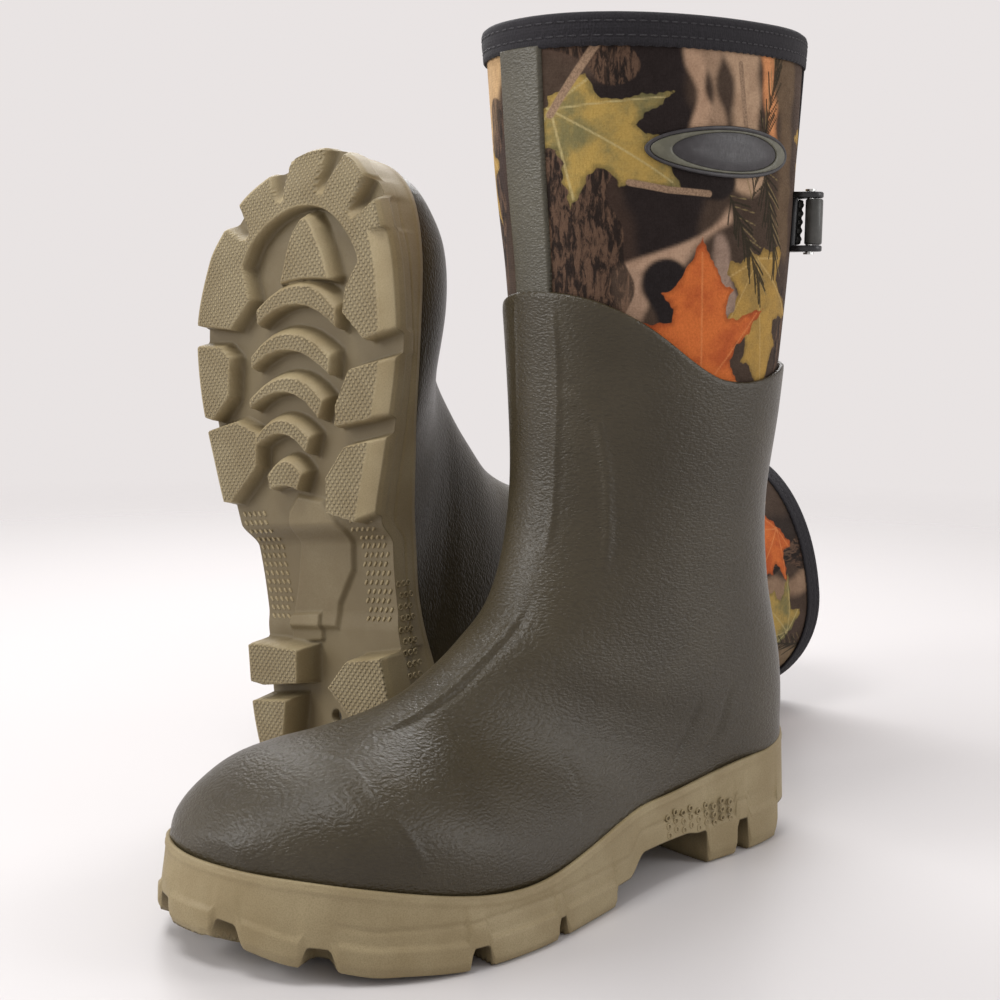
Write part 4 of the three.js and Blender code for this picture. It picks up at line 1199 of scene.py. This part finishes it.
def from_ends(count):
    """How many steps each of count places lies from the nearer end."""
    return np.minimum(np.arange(count), np.arange(count)[::-1])


def panel(turn, up, top, back, round_off=1.2):
    """A pad on the shaft over turns and heights, at the inset top, rounded off to back along its edges."""
    turn, up = turn + 0 * up, up + 0 * turn
    rows, columns = turn.shape
    edge = np.minimum(
        from_ends(rows)[:, None] * np.abs(np.diff(up[:, 0])).mean(),
        from_ends(columns)[None] * np.abs(np.diff(turn[rows // 2])).mean() * DEGREE,
    )
    crown = np.sqrt(np.clip(1 - (1 - np.clip(edge / round_off, 0, 1)) ** 2, 0, 1))
    front = on_shaft(turn, up, back + (top - back) * crown)
    rear = on_shaft(turn, up, back)
    faces = grid_faces(rows, columns, wrap=False)
    points = np.concatenate([front.reshape(-1, 3), rear.reshape(-1, 3)])
    return points, [faces, faces[:, ::-1] + rows * columns, border_faces(rows, columns)], {}


def front_strip_shape():
    """The rubber strip up the front of the shaft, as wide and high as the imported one."""
    low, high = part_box("front_strip_left")
    side = np.linspace(high.x / MM - ORIGIN[0], low.x / MM - ORIGIN[0], 44)[None]
    turn = 180 - np.degrees(np.arctan(side / (STRIP_FORWARD - SHAFT_CENTRE)))
    up = np.linspace(high.z / MM + 2, low.z / MM - 1, 190)[:, None]
    return panel(turn, up, 0.85, NEOPRENE_OUTER, 0.9)


def badge_shapes():
    """The oval badge: a dark field with a raised rim and ring, generic and without lettering."""
    low, high = (corner.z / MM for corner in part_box("badge_left"))
    middle, tall, wide = (low + high) / 2, (high - low) / 2, BADGE_HALF_WIDTH
    around = 96
    angle = np.linspace(0, 2 * np.pi, around, endpoint=False)

    def oval(across, up, inset):
        return on_shaft(BADGE_TURN - across * np.cos(angle) / DEGREE, middle + up * np.sin(angle), inset)

    # Each oval is given by its half width, half height and inset.
    rim = [
        (wide, tall, 2.6), (wide, tall, 1.5), (wide - 0.4, tall - 0.4, 1.0), (wide - 1.4, tall - 1.1, 1.0),
        (wide - 1.8, tall - 1.5, 1.5),
    ]
    field = [(wide - 9.5, tall - 2.6, 1.5), (wide - 10.2, tall - 3.1, 1.1), (20, 3, 1.05), (19, 0.02, 1.05)]
    grid = np.array([oval(20, 0.02, 2.6)] + [oval(*ring) for ring in rim + field])
    faces = [grid_faces(len(grid), around), end_face(len(grid), around), np.arange(around)[None]]
    plate = (grid.reshape(-1, 3), faces, {})
    loop = [
        (wide - 1.9, tall - 1.6, 1.6), (wide - 2.1, tall - 1.8, 1.1), (wide - 2.6, tall - 2.0, 0.9),
        (wide - 8.4, tall - 2.2, 0.9), (wide - 9.2, tall - 2.4, 1.1), (wide - 9.5, tall - 2.6, 1.6),
    ]
    grid = np.array([oval(*ring) for ring in loop])
    points, faces = tube(grid[:-1], grid[-1:])
    return plate, (points, faces, {})


def gusset_shape():
    """The stretch wedge behind the strap, with a shallow fold down its middle."""
    up = np.linspace(SLEEVE_TOP - 0.5, 221.5, 120)[:, None]
    half = np.interp(up, GUSSET_HEIGHTS, [6.2, 27.5])
    across = np.linspace(-1, 1, 61)[None]
    turn = GUSSET_TURN + half * across / DEGREE
    fold = 1.3 * np.exp(-((across * half / 2.2) ** 2)) * ease(up, 226, 250)
    points, faces, values = panel(turn, up, 2.1, NEOPRENE_OUTER + 1.6, 1.0)
    count = turn.size
    middle = np.array([SHAFT_CENTRE, 0.0])
    inward = middle - points[:count, :2]
    inward /= np.linalg.norm(inward, axis=1, keepdims=True)
    points[:count, :2] += inward * fold.reshape(-1, 1)
    return points, faces, values


def piping_shape():
    """The rolled edges down both sides of the gusset."""
    shapes = []
    up = np.linspace(SLEEVE_TOP - 1, 214, 90)
    circle = np.linspace(0, 2 * np.pi, 10, endpoint=False)
    profile = np.stack([np.cos(circle) * 1.3, np.sin(circle) * 0.9], -1)
    for side in (-1, 1):
        turn = GUSSET_TURN + side * np.interp(up, GUSSET_HEIGHTS, [6.6, 28.2]) / DEGREE
        path = on_shaft(turn, up, 2.3)
        out = path * [1, 1, 0] - [SHAFT_CENTRE, 0, 0]
        out /= np.linalg.norm(out, axis=1, keepdims=True)
        across = np.stack([-out[:, 1], out[:, 0], 0 * up], -1)
        shapes.append(sweep(path, across, out, profile, closed=False))
    return join(shapes)


def strap_shape():
    """The calf strap, ribbed lengthways."""
    half = STRAP_HALF_WIDTH
    turn = np.linspace(53, -20, 110)[None]
    up = np.linspace(STRAP_HEIGHT + half, STRAP_HEIGHT - half, 64)[:, None]
    points, faces, values = panel(turn, up, -1.5, 0.4, 0.8)
    off = up - STRAP_HEIGHT
    rib = 0.35 * np.cos(off * 2 * np.pi / 3.6) * ease(half - np.abs(off), 1.0, 2.2) + 0 * turn
    out = points[: rib.size, :2] - [SHAFT_CENTRE, 0]
    points[: rib.size, :2] += out / np.linalg.norm(out, axis=1, keepdims=True) * rib.reshape(-1, 1)
    return points, faces, values


def anchor_shape():
    """The plate that holds the strap's far end."""
    turn = np.linspace(-10, -26, 40)[None]
    return panel(turn, np.linspace(*FITTING_HEIGHTS, 50)[:, None], 0.3, 2.4, 1.6)


# ---------------------------------------------------------------- buckle

BUCKLE_TURN = 48.0
PIN = dict(along=7.0, out=8.0)


def buckle_axes():
    """The pin's middle, and the directions along the strap and outwards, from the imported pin."""
    low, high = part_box("buckle_pin_left")
    pin = (np.array(low) + np.array(high)) / 2 / MM - ORIGIN
    pin = np.array([-pin[1], pin[0], pin[2]])
    ends = on_shaft(np.array([BUCKLE_TURN - 1, BUCKLE_TURN + 1]), pin[2], NEOPRENE_OUTER)
    along = (ends[1] - ends[0]) / np.linalg.norm(ends[1] - ends[0])
    out = np.cross([0, 0, 1.0], along)
    out *= np.sign(out @ (pin - [SHAFT_CENTRE, 0, pin[2]]))
    return pin - along * PIN["along"] - out * PIN["out"], along, out


def slab(outline, low, high, edge=0.45):
    """A plate across the buckle: an outline of (along, out) points from low to high, with rounded edges."""
    base, along, out = buckle_axes()
    outline = np.array(outline, float)
    flat = base + outline[:, :1] * along + outline[:, 1:] * out
    middle = flat.mean(0)
    layers = []
    for up, shrink in ((low, edge), (low + edge, 0), (high - edge, 0), (high, edge)):
        way = middle - flat
        way /= np.maximum(np.linalg.norm(way, axis=1, keepdims=True), 1e-6)
        layers.append(flat + way * shrink + [0, 0, up])
    count = len(flat)
    turned = np.sum(np.cross(outline, np.roll(outline, -1, 0))) * np.dot(np.cross(along, out), [0, 0, 1]) > 0
    faces = grid_faces(4, count)
    caps = [np.arange(count)[None], 3 * count + np.arange(count)[None, ::-1]]
    if turned:
        faces, caps = faces[:, ::-1], [cap[:, ::-1] for cap in caps]
    return np.concatenate(layers), [faces, *caps], {}


def arc(middle, radius, start, end, count=9):
    """Points of an arc between two angles in degrees."""
    angle = np.radians(np.linspace(start, end, count))
    return [(middle[0] + radius * math.cos(a), middle[1] + radius * math.sin(a)) for a in angle]


def buckle_frame_shape():
    """The buckle's base plate with an ear at each end of the pin."""
    crown = arc((PIN["along"] - 0.6, PIN["out"] + 0.6), 4.9, 0, 180)
    ear = [(-4, 0.4), (11.3, 0.4), (11.3, 6)] + crown + [(-2.5, 3.5)]
    turn = BUCKLE_TURN + np.linspace(11.5, -11.5, 40)[None] / DEGREE
    plate = panel(turn, np.linspace(*FITTING_HEIGHTS, 42)[:, None], 0.65, 2.4, 1.2)
    return join([plate, slab(ear, 9.9, 12.4), slab(ear, -12.4, -9.9)])


def lever_shape():
    """The lever: a hub round the pin, a plate, and knurled ridges across its back."""
    top, low = PIN["out"] + 5.4, PIN["out"] + 1.6
    side = [(-9.6, low - 0.6), (-10.2, low + 0.4), (-9.4, top - 0.5), (-8.2, top), (6.5, top)]
    side += arc((PIN["along"] + 0.4, PIN["out"] + 1.6), 3.6, 78, -100) + [(3, low - 0.1)]
    shapes = [slab(side, -9.4, 9.4)]
    for k in range(9):
        along = -8.0 + 1.35 * k
        ridge = arc((along, top - 0.1), 0.5, 0, 180, 7)
        shapes.append(slab(ridge, -8.6, 8.6, 0.2))
    return join(shapes)


FOOTBED_MIDDLE = 148
FOOTBED_HALF = 134


def footbed_shape():
    """The insole inside, cupped along its edges."""
    line = [(-5, 33), (9, 33), (45, 30), (92, 27), (140, 19), (185, 14.5), (225, 14), (258, 17), (300, 24)]
    forward = np.linspace(FOOTBED_MIDDLE - FOOTBED_HALF, FOOTBED_MIDDLE + FOOTBED_HALF, 120)[:, None]
    floor = np.interp(forward, *zip(*line)) + FOOT_SPACE
    outer, inner = sole_sides(300)
    rounded = np.sqrt(np.clip(1 - np.abs(forward - FOOTBED_MIDDLE) / FOOTBED_HALF, 0, 1) ** 0.35)
    left, right = (np.interp(forward, half[:, 0], half[:, 1]) * 0.74 * rounded for half in (outer, inner))
    share = np.linspace(0, 1, 40)[None]
    side = left + (right - left) * share
    cup = 1.8 * (2 * np.abs(share - 0.5)) ** 6
    top = np.stack([forward + 0 * side, side, floor + FOOTBED_THICKNESS - 1.2 + cup + 0 * side], -1)
    low = np.stack([forward + 0 * side, side, floor + 0.6 + 0 * side], -1)
    rows, columns = top.shape[:2]
    faces = grid_faces(rows, columns, wrap=False)
    sides = border_faces(rows, columns)
    points = np.concatenate([top.reshape(-1, 3), low.reshape(-1, 3)])
    return points, [faces[:, ::-1], faces + rows * columns, sides[:, ::-1]], {}


# ---------------------------------------------------------------- the pair

both("shell", shell_shape(), SHELL, ["shell"])
both("outsole", outsole_shape(), SOLE, ["outsole"])
both("tread_dots", tread_dots(), SOLE)
both("heel_rings", heel_rings(), SOLE)
both("sleeve", sleeve_shape(), CAMO, ["sleeve"])
both("lining", lining_shape(), LINING, ["bootie"])
both("binding", binding_shape(), TAPE, ["binding"])
collar = BOOT_HEIGHT - BINDING_HEIGHT
stitches = join(stitch_row(collar + 3.9, 1.3) + stitch_row(collar + 9.2, 1.2))
both("stitching", stitches, THREAD)
both("front_strip", front_strip_shape(), STRIP, ["front_strip"])
field, badge_ring = badge_shapes()
both("badge", field, BADGE_FIELD, ["badge"])
both("badge_ring", badge_ring, BADGE_RING)
both("calf_gusset", gusset_shape(), BLACK_KNIT, ["calf_gusset"])
both("gusset_piping", piping_shape(), TAPE)
both("calf_strap", strap_shape(), STRAP, ["calf_strap"])
both("strap_anchor", anchor_shape(), BUCKLE, ["strap_anchor"])
both("buckle_frame", buckle_frame_shape(), BUCKLE, ["buckle_frame"])
both("buckle_lever", lever_shape(), LEVER, ["buckle_lever"], body="lever")
both("footbed", footbed_shape(), FOOT_FOAM, ["footbed"])

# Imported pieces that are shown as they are, with their finish.
KEPT = {
    "midsole": FOAM, "shank": STEEL, "heel_counter": BOARD, "toe_puff": BOARD, "buckle_pin": STEEL,
    "buckle_rivet_1": STEEL, "buckle_rivet_2": STEEL,
}
for side in SIDES:
    for node, finish in KEPT.items():
        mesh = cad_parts[f"{node}_{side}"].data
        mesh.materials.clear()
        mesh.materials.append(finish)

# ---------------------------------------------------------------- floor, light and camera

scene = bpy.context.scene
scene.view_settings.view_transform = "Standard"
scene.view_settings.look = "None"

ground = Look("pale_floor", (0.60, 0.58, 0.58), 0.32, on_boot=False, Specular_IOR_Level=0.15)
reach = ground.vector("SCALE", ground.place, scale=MM)
far = ground.node("ShaderNodeVectorMath", operation="LENGTH")
ground.put(far.inputs[0], reach)
clear = ground.node("ShaderNodeBsdfTransparent")
blend = ground.node("ShaderNodeMixShader")
ground.put(blend.inputs[0], ground.range(far.outputs["Value"], 0.45, 1.5))
ground.links.new(ground.shader.outputs[0], blend.inputs[1])
ground.links.new(clear.outputs[0], blend.inputs[2])
ground.links.new(blend.outputs[0], ground.nodes["Material Output"].inputs["Surface"])
bpy.ops.mesh.primitive_circle_add(vertices=96, radius=2.0, fill_type="NGON")
floor = bpy.context.object
floor.name = "floor"
floor.data.materials.append(ground.material)

world = bpy.data.worlds.new("studio")
scene.world = world
world.use_nodes = True
sky = world.node_tree
direction = sky.nodes.new("ShaderNodeTexCoord")
height = sky.nodes.new("ShaderNodeSeparateXYZ")
dimming = sky.nodes.new("ShaderNodeMapRange")
for socket, value in (("From Min", 0.22), ("From Max", 0.6), ("To Min", 0.98), ("To Max", 0.55)):
    dimming.inputs[socket].default_value = value
sky.links.new(direction.outputs["Generated"], height.inputs[0])
sky.links.new(height.outputs["Z"], dimming.inputs["Value"])
sky.links.new(dimming.outputs["Result"], sky.nodes["Background"].inputs["Strength"])
sky.nodes["Background"].inputs["Color"].default_value = (0.83, 0.79, 0.785, 1)


def softbox(name, spot, target, size, power, colour=(1, 1, 1)):
    """A square area light at spot, in metres, facing target."""
    lamp = bpy.data.lights.new(name, "AREA")
    lamp.shape = "RECTANGLE"
    lamp.size, lamp.size_y = size
    lamp.energy = power
    lamp.color = colour
    obj = bpy.data.objects.new(name, lamp)
    obj.location = spot
    obj.rotation_euler = (Vector(target) - Vector(spot)).to_track_quat("-Z", "Y").to_euler()
    scene.collection.objects.link(obj)


softbox("key", (0.02, -0.50, 1.15), (0.04, -0.10, 0.1), (0.45, 0.35), 6)
softbox("rim", (0.95, 0.55, 0.55), (0.07, 0.0, 0.15), (0.35, 0.9), 4)
softbox("fill", (-0.55, -1.15, 0.65), (-0.08, -0.05, 0.15), (0.6, 0.6), 9)
softbox("back_top", (-0.75, 0.55, 1.05), (0.05, -0.12, 0.08), (1.2, 0.7), 17)

# The camera stands at the toe's outer quarter, a little above the ankle.
CAMERA_SPOT = dict(forward=609.0, side=465.3, up=236.0)
VIEW = dict(yaw=-2.2921, pitch=-0.1383, roll=0.0052)
camera_data = bpy.data.cameras.new("camera")
camera_data.sensor_width = 36
camera_data.lens = 58.19
camera_data.shift_x, camera_data.shift_y = 0.08, 0.0282
camera = bpy.data.objects.new("camera", camera_data)
camera.location = place(np.array([CAMERA_SPOT["forward"], CAMERA_SPOT["side"], CAMERA_SPOT["up"]]), "left")
flat = math.cos(VIEW["pitch"])
view = Vector((flat * math.sin(VIEW["yaw"]), -flat * math.cos(VIEW["yaw"]), math.sin(VIEW["pitch"])))
turn = view.to_track_quat("-Z", "Y") @ Matrix.Rotation(VIEW["roll"], 3, "Z").to_quaternion()
camera.rotation_euler = turn.to_euler()
scene.collection.objects.link(camera)
scene.camera = camera
